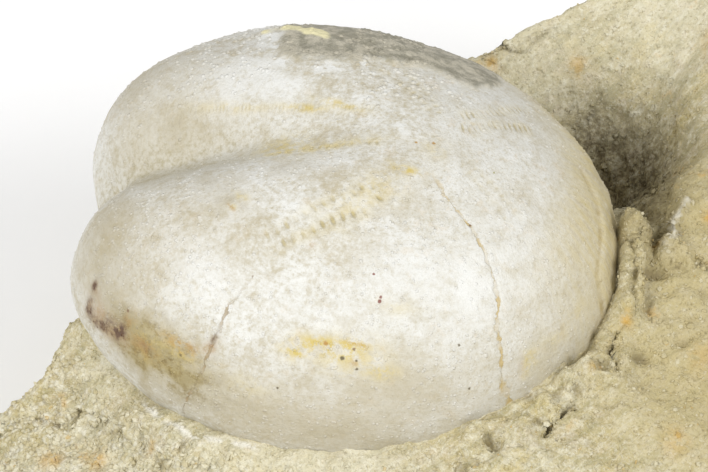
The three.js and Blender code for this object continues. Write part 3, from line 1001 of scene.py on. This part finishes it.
def rock_lift(rings, distance, degrees, coarse):
    """How far the smooth rings are lifted: the broken relief, which fades towards the test and
    at the flat underside, plus coarse grain in front, crumbs in the hollow and lumpy rubble."""
    keep = 0.85 * smooth(distance / 2.6) + 0.15 * smooth(distance / 0.5)
    keep[FIRST_BELOW - 4:FIRST_BELOW] *= np.array([0.75, 0.5, 0.25, 0])[:, None]
    keep[FIRST_BELOW:] = 0
    lift = keep * rock_relief(rings) * (1 - 0.5 * zone(degrees, "calm"))
    lift += 0.3 * coarse * layered_noise(rings, 1.3, 3, 98)
    lift[LAST_TOP:FIRST_BELOW] += side_facets(rings[LAST_TOP:FIRST_BELOW])
    lift += 0.12 * keep * layered_noise(rings, 0.8, 2, 99)
    crumbly = np.minimum(hollow_depth(rings) / 3, 1) * smooth(distance)
    lift += 0.35 * crumbly * layered_noise(rings, 1.1, 3, 96)
    lumpy = layered_noise(rings, 1.7, 3, 97) + 0.45 * layered_noise(rings, 0.85, 2, 94)
    return lift + smooth(distance / 1.2) * rubble_amount(degrees, distance) * (0.5 * lumpy + 0.1)


def build_rock():
    """The rock: smooth rings lifted along their normals by the broken relief."""
    rings, top_distance, degrees = rock_grid()
    distance = np.full(rings.shape[:2], 30.0)
    distance[:SOCKET_ROWS] = 0
    distance[SOCKET_ROWS:LAST_TOP] = top_distance
    coarse = zone(degrees, "coarse") * smooth((distance - 1.5) / 2)
    lift = rock_lift(rings, distance, degrees, coarse)
    rings = rings + grid_normals(rings) * lift[..., None]
    rings[..., 2] = np.maximum(rings[..., 2], -ROCK_DEPTH)
    # painted shade: a ragged dark line along the contact with the test, added to the cavities, which
    # are darkened
    ragged = smooth(0.6 + 1.4 * noise(rings, 1.6, 47))
    gap = bell(distance, 0.1, 0.22) * ragged * zone(degrees, "gap")
    cavity = cavities(rings) + 0.45 * gap
    tones_and_shade = rock_tint_and_shade(rings, cavity, coarse - 0.5 * zone(degrees, "calm"))
    socket_bottom = test_point(np.zeros(1), np.ones(1), SOCKET_GAP)[0]
    quads, fans = skin_faces(*rings.shape[:2])
    piece = finished_piece(
        "limestone_surface",
        with_ends(rings, socket_bottom, np.array([0, 0, -ROCK_DEPTH])),
        quads.tolist() + fans.tolist(),
        attributes_with_ends({"looks": rock_looks(rings), "tones_and_shade": tones_and_shade}),
        rock_material("granular_limestone", False),
    )
    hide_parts("limestone_matrix")
    return rings, distance, degrees, cavity


def rock_looks(points):
    """How chalky and how rusty the rock is at a place, and how much dark painted shade lies in the
    hollow and the trough by the collar.
    """
    chalk = bell(path_distance(points[..., :2], CHALK_LINE), 0, 0.28)
    chalk += 0.65 * bell(path_distance(points[..., :2], np.array(FLAKE_EDGE)), 0, 0.3)
    on_top = points[..., 2] > -8
    # painted shade in the hollow and the trough by the collar
    painted_shade = np.minimum(rock_spots(points, HOLLOW_SHADE_SPOTS), 1)
    return np.stack([chalk * on_top, rock_spots(points, ROCK_STAINS) * on_top, painted_shade], -1)


def rock_tint_and_shade(points, cavity, coarse):
    """How pale or dark a place is (the darker places at the collar are painted shade), how deep in a
    cavity it lies, which is painted as shade, and how coarse its grain is.
    """
    return np.stack([rock_spots(points, ROCK_TINTS), cavity, coarse], -1)


def cavities(rings):
    """How far each place lies below the mean of the places around it, in millimetres."""
    around = np.zeros(rings.shape)
    for step in (2, 4):
        above = rings[np.maximum(np.arange(len(rings)) - step, 0)]
        below = rings[np.minimum(np.arange(len(rings)) + step, len(rings) - 1)]
        around += (above + below + np.roll(rings, step, 1) + np.roll(rings, -step, 1)) / 8
    return ((around - rings) * grid_normals(rings)).sum(-1)


def build_grains(rings, distance, degrees, cavity):
    """Rounded grains set in the rock's surface: meshes of equal count, each over all the rock."""
    material = rock_material("limestone_grains", True)
    density = smooth((distance - 0.15) / 0.3)
    density[LAST_TOP:] = 0.55
    density[-UNDERSIDE_ROWS - 2:] = 0
    near = zone(degrees, "near_grains") + 0.4 * zone(degrees, "rear_grains")
    density[:LAST_TOP] *= 0.6 + 1.6 * np.minimum(near, 1)
    density[:SOCKET_ROWS] = 0
    hollow = 0.6 * rock_looks(rings)[..., 2]
    coarse = np.maximum(zone(degrees, "coarse") * smooth((distance - 1) / 2), hollow)
    for patch in range(GRAIN_MESHES):
        points, normals, row, column = scattered(rings, density, GRAINS_EACH, 200 + patch)
        chance = np.random.default_rng(300 + patch)
        size = mix(*GRAIN_RADII, chance.random(GRAINS_EACH) ** 2.5)
        size = size * (1 + 0.4 * coarse[row, column])
        stretch = mix(0.6, 1.6, chance.random((GRAINS_EACH, 3)))
        sizes = size[:, None] * stretch * np.array([1, 1, 0.7])
        sunk = mix(-0.85, 0.1, chance.random(GRAINS_EACH)) * sizes[:, 2]
        sunk += 0.35 * coarse[row, column] * sizes[:, 2]
        corners, faces, each = lumps(points + normals * sunk[:, None], normals, sizes, 0.3, 400 + patch)
        corners[:, 2] = np.maximum(corners[:, 2], -ROCK_DEPTH)
        tone = np.repeat(chance.random(GRAINS_EACH), each)
        # painted shade of the cavities, carried over to the grains
        depth = np.repeat(0.6 * cavity[row, column], each)
        finished_piece(
            f"limestone_grains_{patch + 1}",
            corners,
            faces,
            {"tone": tone, "looks": rock_looks(corners), "tones_and_shade": rock_tint_and_shade(corners, depth, 0 * depth)},
            material,
            rounded=False,
        )


# ---- materials ----

class Shader:
    """Short names for the nodes of one material."""

    def __init__(self, name):
        self.material = bpy.data.materials.new(name)
        self.material.use_nodes = True
        self.tree = self.material.node_tree
        self.surface = self.tree.nodes["Principled BSDF"]
        self.place = self.node("ShaderNodeTexCoord").outputs["Object"]

    def node(self, kind, inputs=None, **settings):
        """A new node with its settings, and with values or links in its inputs."""
        made = self.tree.nodes.new(kind)
        for key, value in settings.items():
            setattr(made, key, value)
        for key, value in (inputs or {}).items():
            self.feed(made.inputs[key], value)
        return made

    def feed(self, socket, value):
        """Link an output to a socket, or set the socket to a plain value."""
        if isinstance(value, bpy.types.NodeSocket):
            self.tree.links.new(value, socket)
        else:
            socket.default_value = value

    def attribute(self, name):
        """One of the mesh's own values."""
        return self.node("ShaderNodeAttribute", attribute_name=name).outputs["Fac"]

    def vector(self, name):
        """Three of the mesh's own values."""
        return self.node("ShaderNodeAttribute", attribute_name=name).outputs["Vector"]

    def parts(self, vector):
        return self.node("ShaderNodeSeparateXYZ", {0: vector}).outputs

    def math(self, operation, a, b=0.0, c=0.0):
        return self.node("ShaderNodeMath", {0: a, 1: b, 2: c}, operation=operation).outputs[0]

    def add(self, a, b):
        return self.math("ADD", a, b)

    def times(self, a, b):
        return self.math("MULTIPLY", a, b)

    def vector_math(self, operation, a, b):
        return self.node("ShaderNodeVectorMath", {0: a, 1: b}, operation=operation)

    def stretched(self, vector, scales):
        return self.vector_math("MULTIPLY", vector, scales).outputs[0]

    def moved(self, vector, step):
        return self.vector_math("ADD", vector, step).outputs[0]

    def between(self, value, low, high, to_low=0.0, to_high=1.0):
        """`value` from low to high, eased, as to_low to to_high."""
        made = self.node(
            "ShaderNodeMapRange",
            {0: value, 1: low, 2: high, 3: to_low, 4: to_high},
            interpolation_type="SMOOTHSTEP",
        )
        return made.outputs[0]

    def noise(self, size, detail=3.0, roughness=0.5, place=None):
        """Noise whose blotches are `size` across, in metres on Object coordinates."""
        inputs = {"Vector": place or self.place, "Scale": 1 / size}
        inputs.update({"Detail": detail, "Roughness": roughness})
        return self.node("ShaderNodeTexNoise", inputs).outputs["Fac"]

    def wandering(self, size, reach):
        """Object coordinates pushed about by up to `reach` metres, in blotches of `size`."""
        push = self.node("ShaderNodeTexNoise", {"Vector": self.place, "Scale": 1 / size})
        push = self.moved(push.outputs["Color"], (-0.5,) * 3)
        return self.moved(self.place, self.stretched(push, (2 * reach,) * 3))

    def cells(self, size, place):
        """Distance from the middle of the nearest grain, and a random value for each grain."""
        made = self.node("ShaderNodeTexVoronoi", {"Vector": place, "Scale": 1 / size})
        return made.outputs["Distance"], self.parts(made.outputs["Color"])[0]

    def colour(self, share, a, b):
        """From colour `a` to colour `b`, by `share`."""
        made = self.node("ShaderNodeMix", data_type="RGBA", blend_type="MIX")
        self.feed(made.inputs["Factor"], share)
        for socket, value in zip((made.inputs[6], made.inputs[7]), (a, b)):
            self.feed(socket, value if isinstance(value, bpy.types.NodeSocket) else (*value, 1))
        return made.outputs[2]

    def coat(self, tone, *shares):
        """One more coat of colour, which covers as much as the product of its shares."""
        covered = shares[0]
        for share in shares[1:]:
            covered = self.times(covered, share)
        self.base = self.colour(covered, self.base, tone)

    def blotches(self, tone, value, low, high, strength):
        """A coat that goes from nothing where `value` is low to its full strength at high."""
        self.coat(tone, self.between(value, low, high, 0.0, strength))

    def total(self, *terms):
        """The sum of values, each times its weight."""
        result = 0.0
        for value, weight in terms:
            result = self.add(result, self.times(value, weight))
        return result

    def distance(self, place, point):
        """How far a place lies from a point."""
        return self.vector_math("DISTANCE", place, point).outputs["Value"]

    def finished(self, rough, height, specular):
        """The material with its coats of colour, its roughness and its fine bumps."""
        bump = self.node("ShaderNodeBump", {"Height": height, "Distance": BUMP_HEIGHT, "Strength": 1.0})
        self.feed(self.surface.inputs["Base Color"], self.base)
        self.feed(self.surface.inputs["Roughness"], rough)
        self.feed(self.surface.inputs["Normal"], bump.outputs["Normal"])
        self.surface.inputs["Specular IOR Level"].default_value = specular
        return self.material


class ChalkShader(Shader):
    """Chalky calcite: the noises that its coats of colour share, and one method for each coat."""

    def __init__(self):
        super().__init__("chalky_calcite")
        self.base = CHALK_WHITE
        self.mottle = self.noise(0.007, 4, 0.6)
        self.medium = self.noise(0.0016, 4, 0.65)
        self.fine = self.noise(0.00045, 3, 0.7)
        self.tiny = self.noise(0.00017, 2, 0.6)
        self.freckles = self.noise(0.0004, 5, 0.75)
        circle_down = self.vector("circle_down")
        self.forward, _, self.down = self.parts(circle_down)
        self.ring_streaks = self.noise(1.0, 3, 0.6, self.stretched(circle_down, (0.16, 0.16, 1.6)))
        self.upright_streaks = self.noise(1.0, 3, 0.6, self.stretched(circle_down, (1.3, 1.3, 0.2)))

    def mottling(self):
        """White, a little beige and fine tan specks, with stronger patches on the front lobes."""
        warm = self.noise(0.0011, 3, 0.6)
        self.blotches(CHALK_BEIGE, self.mottle, 0.42, 0.66, 0.55)
        self.blotches(CHALK_PALE, self.medium, 0.50, 0.66, 0.45)
        self.blotches(CHALK_BEIGE, self.medium, 0.47, 0.34, 0.35)
        self.blotches(CHALK_ROSY, warm, 0.57, 0.70, 0.3)
        self.blotches(CHALK_PALE, self.fine, 0.50, 0.66, 0.4)
        self.blotches(CHALK_TAN, self.fine, 0.47, 0.32, 0.4)
        self.blotches(CHALK_TAN, self.tiny, 0.47, 0.33, 0.35)
        self.blotches(CHALK_TAN, self.ring_streaks, 0.52, 0.68, 0.22)
        front = self.between(self.forward, -2.0, 12.0, 0.12, 1.0)
        patches = self.noise(0.0026, 4, 0.65, self.wandering(0.003, 0.0015))
        self.coat(CHALK_TAN, front, self.between(patches, 0.52, 0.66, 0.0, 0.6))
        self.coat(CHALK_PALE, front, self.between(patches, 0.47, 0.34, 0.0, 0.8))
        self.coat(CHALK_TAN, front, self.between(self.freckles, 0.52, 0.34, 0.0, 0.45))
        self.coat(CHALK_PALE, front, self.between(self.freckles, 0.50, 0.66, 0.0, 0.45))

    def shading(self):
        """Beige places (partly painted shade), painted highlights, painted shade on the groove's near
        wall, and the groove greyer and olive-specked, partly dirt and partly painted shade.
        """
        groove = self.parts(self.vector("zones"))[0]
        near_wall_shade, painted_highlight, beige = self.parts(self.vector("shades"))
        # beige places: partly the test's own tone, partly painted shade
        self.coat(CHALK_TAN, beige, self.between(self.mottle, 0.3, 0.6, 0.5, 1.0), 0.6)
        # painted highlights
        self.coat(CHALK_HIGHLIGHT_TONE, painted_highlight, self.between(self.medium, 0.3, 0.55, 0.3, 1.0), 0.75)
        # the groove made beige: partly dirt, partly painted shade
        self.blotches(CHALK_BEIGE, groove, 0.3, 0.95, 0.38)
        # painted shade on the groove's near wall
        self.blotches(GROOVE_SHADE_GREY, near_wall_shade, 0.2, 0.8, 0.1)
        # olive specks low in the groove: partly dirt, partly painted shade
        olive_specks = self.between(self.freckles, 0.53, 0.34)
        self.coat(GROOVE_OLIVE, self.between(groove, 0.5, 1.0), olive_specks, 0.5)

    def rear_and_drab(self):
        """The straw-coloured rear with combed brown streaks and its crease, and the drab front."""
        _, rear, drab = self.parts(self.vector("zones"))
        fold = self.parts(self.vector("cracks"))[2]
        self.coat(STRAW, rear, self.between(self.upright_streaks, 0.35, 0.62, 0.5, 1.0))
        combs = self.total((self.upright_streaks, 1.0), (self.freckles, 0.5))
        self.coat(STRAW_BROWN, rear, self.between(combs, 0.74, 0.6), 0.5)
        crease = self.total((fold, 1.0), (self.noise(0.0009, 3, 0.6), 0.5))
        broken = self.between(self.medium, 0.38, 0.6, 0.25, 1.0)
        self.coat(CREASE_BROWN, self.between(crease, 0.55, 0.3), broken, 0.7)
        self.coat(DRAB_TONE, drab, self.between(self.medium, 0.3, 0.6, 0.35, 1.0), 0.75)
        specks = self.noise(0.0008, 5, 0.75)
        self.coat(DRAB_SPECK, drab, self.between(specks, 0.49, 0.62), 0.5)

    def pores(self):
        """Brown oval pores and a faint ochre band along their rows. Gives the pores' share."""
        count, off_row, strength = self.parts(self.vector("pores"))
        off_middle = self.math("WRAP", self.add(count, 0.5), 1.0, 0.0)
        along = self.math("DIVIDE", self.add(off_middle, -0.5), PORE_HALF_WIDTH)
        oval = self.math("SQRT", self.add(self.times(along, along), self.times(off_row, off_row)))
        pore = self.times(self.between(oval, 1.3, 0.3), strength)
        pore = self.times(pore, self.between(self.noise(0.0013, 2, 0.5), 0.38, 0.6, 0.3, 1.0))
        self.coat(PORE_BROWN, pore, 0.75)
        near_row = self.between(self.math("ABSOLUTE", off_row), 2.6, 0.4)
        self.coat(OCHRE_TONE, strength, near_row, self.between(self.medium, 0.4, 0.6), 0.22)
        return pore

    def stains(self):
        """Ochre and rust in blotches, and manganese in combed streaks with a brown rim."""
        ochre, rust, manganese = self.parts(self.vector("stains"))
        blotch = self.between(self.noise(0.0009, 4, 0.75), 0.38, 0.6, 0.1, 1.2)
        self.coat(OCHRE_TONE, ochre, blotch, 0.75)
        self.coat(RUST_TONE, rust, blotch, 0.8)
        combed = self.total((self.upright_streaks, 0.5), (self.noise(0.0005, 4, 0.75), 0.6))
        self.coat(MANGANESE_RIM, manganese, 0.65)
        self.coat(MANGANESE_TONE, manganese, self.between(combed, 0.44, 0.66, 0.2, 1.2), 0.85)

    def far_layer(self):
        """The mottled grey layer, white flakes along its edge, and the calcite lens.

        Gives the layer's share."""
        inside, lens, flakes = self.parts(self.vector("layer"))
        layer = self.between(inside, -0.3, 0.9)
        mottled = self.between(self.noise(0.0011, 4, 0.72), 0.38, 0.62)
        self.coat(self.colour(mottled, LAYER_DARK, LAYER_PALE), layer, 0.92)
        self.coat(CHALK_PALE, flakes, self.between(self.noise(0.0014, 2, 0.5), 0.5, 0.56))
        self.coat(LENS_YELLOW, self.between(lens, 0.35, 0.75))
        return layer

    def cracks(self):
        """Wandering lines of uneven width along the two cracks. Gives each line's share."""
        offsets = self.parts(self.vector("cracks"))
        lines = []
        for offset, crack, look in zip(offsets, (FRONT_CRACK, REAR_CRACK), CRACK_LOOKS):
            fade_end, half_width, widening, tone = look
            start = crack[0][1] * MERIDIAN_LENGTH
            end = fade_end * MERIDIAN_LENGTH
            wobble = self.times(self.add(self.noise(0.0008, 4, 0.65), -0.5), 0.7)
            unevenness = self.noise(0.0010, 3, 0.6)
            width = self.between(unevenness, 0.36, 0.62, half_width * 0.25, half_width * 2.2)
            width = self.times(width, self.between(self.down, 19.5, 22.5, 1.0, widening))
            off = self.math("DIVIDE", self.math("ABSOLUTE", self.add(offset, wobble)), width)
            line = self.times(self.between(off, 1.3, 0.5), self.between(self.down, start, start + 0.6))
            line = self.times(line, self.between(self.down, start, start + 4.5, 0.3, 1.0))
            line = self.times(line, self.between(self.down, end, end - 2))
            shade = self.between(self.noise(0.0012, 2, 0.5), 0.4, 0.6, 0.25, 1.0)
            self.coat(tone, line, shade, 0.85)
            lines.append(line)
        return lines

    def dots(self):
        """Small round spots with uneven edges."""
        loose = self.wandering(0.00033, 0.00011)
        for name, tone in DOT_TONES.items():
            shown = 0.0
            for direction, down, radius, own_tone in DOTS:
                if own_tone == name:
                    middle = test_point(np.radians(direction), np.array(down)) + test_middle
                    away = self.distance(loose, tuple(middle * MM))
                    spot = self.between(away, radius * 1.1 * MM, radius * 0.4 * MM)
                    shown = self.math("MAXIMUM", shown, spot)
            self.coat(tone, shown, 0.9)


def test_material():
    """Chalky calcite: warm white with beige mottling, stains, pores, cracks and a grey layer."""
    s = ChalkShader()
    s.mottling()
    s.shading()
    s.rear_and_drab()
    pore = s.pores()
    s.stains()
    layer = s.far_layer()
    lines = s.cracks()
    s.dots()
    polish = s.between(s.noise(0.005, 3, 0.5), 0.4, 0.65, 0.47, 0.30)
    rough = s.total((polish, 1.0), (s.fine, 0.3), (layer, 0.25))
    height = s.total(
        (s.fine, 0.7),
        (s.tiny, 0.3),
        (s.ring_streaks, 0.35),
        (s.times(layer, s.noise(0.0007, 4, 0.75)), 1.8),
        (pore, -0.5),
        *((line, -0.3) for line in lines),
    )
    return s.finished(rough, height, 0.5)


class LimestoneShader(Shader):
    """Granular limestone: the noises that its coats of colour share, and their methods."""

    def __init__(self, name):
        super().__init__(name)
        self.base = LIMESTONE_CREAM
        self.patches = self.noise(0.006, 4, 0.6)
        self.crumbs = self.noise(0.0006, 5, 0.7)
        self.specks = self.noise(0.00028, 3, 0.65)
        self.gap, self.own_tone = self.cells(0.0004, self.wandering(0.0006, 0.00018))
        turn = np.radians(STREAK_TURN)
        along_streaks = self.node(
            "ShaderNodeMapping",
            {"Vector": self.place, "Rotation": (0, 0, turn), "Scale": STREAK_LENGTHS},
            vector_type="TEXTURE",
        ).outputs[0]
        self.streaks = self.noise(1.0, 4, 0.65, along_streaks)
        self.tint, self.cavity, coarse = self.parts(self.vector("tones_and_shade"))
        self.coarse = self.between(coarse, -0.5, 1.0)

    def mottling(self):
        """Cream with tan patches, rosy and olive blotches, and pale crumbs."""
        medium = self.noise(0.0015, 4, 0.65)
        self.blotches(LIMESTONE_TAN, self.patches, 0.35, 0.7, 0.6)
        self.blotches(LIMESTONE_ROSY, medium, 0.52, 0.68, 0.6)
        self.blotches(LIMESTONE_OLIVE, medium, 0.47, 0.34, 0.6)
        self.blotches(LIMESTONE_PALE, self.crumbs, 0.52, 0.66, 0.75)
        self.blotches(LIMESTONE_OLIVE, self.crumbs, 0.47, 0.34, 0.55)

    def grains(self):
        """Single grains with tones of their own and brown gaps, clearest where it is coarse."""
        clear = self.total((self.coarse, 0.6), (0.05, 1.0))
        self.coat(GRAIN_WHITE, self.between(self.own_tone, 0.5, 0.9), clear)
        self.coat(LIMESTONE_TAN, self.between(self.own_tone, 0.4, 0.05), clear)
        deep = self.total((self.coarse, 0.4), (0.1, 1.0))
        self.coat(LIMESTONE_BROWN, self.between(self.gap, 0.5, 0.85), deep)

    def streaks_and_veins(self):
        """Streaks all one way, yellow patches, fine grit and thin brown veins."""
        self.coat(LIMESTONE_OLIVE, self.between(self.streaks, 0.53, 0.63), 0.55)
        self.coat(LIMESTONE_PALE, self.between(self.streaks, 0.47, 0.38), 0.4)
        yellow = self.between(self.noise(0.0032, 4, 0.65), 0.52, 0.66)
        self.coat(LIMESTONE_YELLOW, yellow, self.between(self.streaks, 0.6, 0.45, 0.4, 1.0), 0.45)
        grit = self.noise(0.00016, 2, 0.7)
        self.blotches(LIMESTONE_PALE, grit, 0.52, 0.68, 0.4)
        self.blotches(LIMESTONE_TAN, grit, 0.47, 0.33, 0.45)
        veins = self.math("ABSOLUTE", self.add(self.noise(0.0014, 4, 0.7), -0.5))
        spread = self.between(self.patches, 0.4, 0.6, 0.25, 1.0)
        self.coat(VEIN_BROWN, self.between(veins, 0.016, 0.0), spread, 0.45)

    def own_tones(self, loose_grains):
        """Paler and darker places, where the darker ones at the collar are painted shade, and the tones
        of loose grains or the specks between them.
        """
        self.blotches(LIMESTONE_PALE, self.tint, 0.0, 1.0, 0.5)
        self.blotches(LIMESTONE_TAN, self.tint, 0.0, -1.2, 0.7)
        if loose_grains:
            tone = self.attribute("tone")
            self.blotches(LIMESTONE_PALE, tone, 0.5, 1.0, 0.35)
            self.blotches(LIMESTONE_TAN, tone, 0.4, 0.0, 0.4)
            self.blotches(IRON_ORANGE, tone, 0.012, 0.008, 0.35)
        else:
            self.blotches(LIMESTONE_BROWN, self.specks, 0.45, 0.32, 0.45)

    def painted_shade(self, strength):
        """Painted shade in cavities and dark painted shade in the hollow, with scattered rust, the
        chalk line and rusty spots.
        """
        chalk, spots, painted_shade = self.parts(self.vector("looks"))
        # painted shade in cavities and along the contact with the test
        self.blotches(LIMESTONE_BROWN, self.cavity, 0.1, 0.55, 0.65)
        rust = self.between(self.noise(0.0024, 3, 0.6), 0.63, 0.75)
        self.coat(IRON_ORANGE, rust, self.between(self.crumbs, 0.4, 0.6), 0.45)
        self.coat(LINE_WHITE, chalk, self.between(self.noise(0.0012, 3, 0.6), 0.38, 0.55), 0.9)
        blotch = self.between(self.noise(0.0008, 3, 0.6), 0.35, 0.55, 0.2, 1.0)
        self.coat(IRON_ORANGE, spots, blotch, 0.9)
        # dark painted shade in the hollow and the trough by the collar
        self.coat(HOLLOW_SHADE_TONE, painted_shade, self.between(self.crumbs, 0.38, 0.62, 1.05, 0.55), strength)


def rock_material(name, loose_grains):
    """Granular limestone: cream and yellow grains, brown gaps, chalk and scattered rust, with painted
    shade in cavities, by the collar and in the hollow.
    """
    s = LimestoneShader(name)
    s.mottling()
    s.grains()
    s.streaks_and_veins()
    s.own_tones(loose_grains)
    s.painted_shade(0.75 if loose_grains else 0.9)
    rough = s.between(s.crumbs, 0.3, 0.7, 0.98, 0.8)
    raised = s.total((s.coarse, 0.5), (0.15, 1.0))
    height = s.total(
        (s.specks, 0.6),
        (s.crumbs, 1.3),
        (s.streaks, -0.8),
        (s.between(s.gap, 0.85, 0.3), raised),
    )
    return s.finished(rough, height, 0.25)


def floor_material():
    """Pale matt card, a shade lighter and darker in fine blotches."""
    s = Shader("pale_card")
    fibre = s.noise(0.002, 3, 0.6)
    s.feed(s.surface.inputs["Base Color"], s.colour(fibre, CARD_SHADED, CARD_WHITE))
    s.surface.inputs["Roughness"].default_value = 0.9
    return s.material


# ---- stage, light and camera ----

def build_floor():
    """A square of card under the rock."""
    mesh = bpy.data.meshes.new("floor")
    corners = [(-1, -1, 0), (1, -1, 0), (1, 1, 0), (-1, 1, 0)]
    mesh.from_pydata((np.array(corners) * FLOOR_HALF).tolist(), [], [(0, 1, 2, 3)])
    floor = bpy.data.objects.new("floor", mesh)
    bpy.context.scene.collection.objects.link(floor)
    floor.data.materials.append(floor_material())


def softbox(name, towards):
    """A square light in the given direction from the middle of the test, aimed at it."""
    light = bpy.data.lights.new(name, "AREA")
    light.size = LIGHT_SIZE
    light.energy = LIGHT_POWER
    holder = bpy.data.objects.new(name, light)
    target = Vector(test_middle) * MM
    holder.location = target + Vector(towards).normalized() * LIGHT_DISTANCE * MM
    holder.rotation_euler = (target - holder.location).to_track_quat("-Z", "Y").to_euler()
    bpy.context.scene.collection.objects.link(holder)


def build_lights():
    """Two equal softboxes, left and right of the camera, and even light from all around."""
    softbox("left_softbox", LEFT_LIGHT)
    softbox("right_softbox", RIGHT_LIGHT)
    world = bpy.data.worlds.new("studio")
    world.use_nodes = True
    background = world.node_tree.nodes["Background"]
    background.inputs["Color"].default_value = (1, 1, 1, 1)
    background.inputs["Strength"].default_value = SURROUNDING_LIGHT
    bpy.context.scene.world = world
    bpy.context.scene.view_settings.view_transform = "Standard"


def build_camera():
    """A long lens that looks down on the test from in front of its near flank."""
    camera = bpy.data.cameras.new("camera")
    camera.lens = CAMERA_LENS
    camera.clip_start = 0.01
    holder = bpy.data.objects.new("camera", camera)
    tilt = np.radians(CAMERA_ELEVATION)
    back = np.array([0, -np.cos(tilt), np.sin(tilt)])
    up = np.array([0, np.sin(tilt), np.cos(tilt)])
    place = test_middle + back * CAMERA_DISTANCE + up * CAMERA_RAISED
    place = place + np.array([CAMERA_ASIDE, 0, 0])
    holder.location = Vector(place) * MM
    holder.rotation_euler = (np.pi / 2 - tilt, 0, 0)
    bpy.context.scene.collection.objects.link(holder)
    bpy.context.scene.camera = holder


build_camera()
build_lights()
build_floor()
build_tubercles(*build_test())
build_grains(*build_rock())
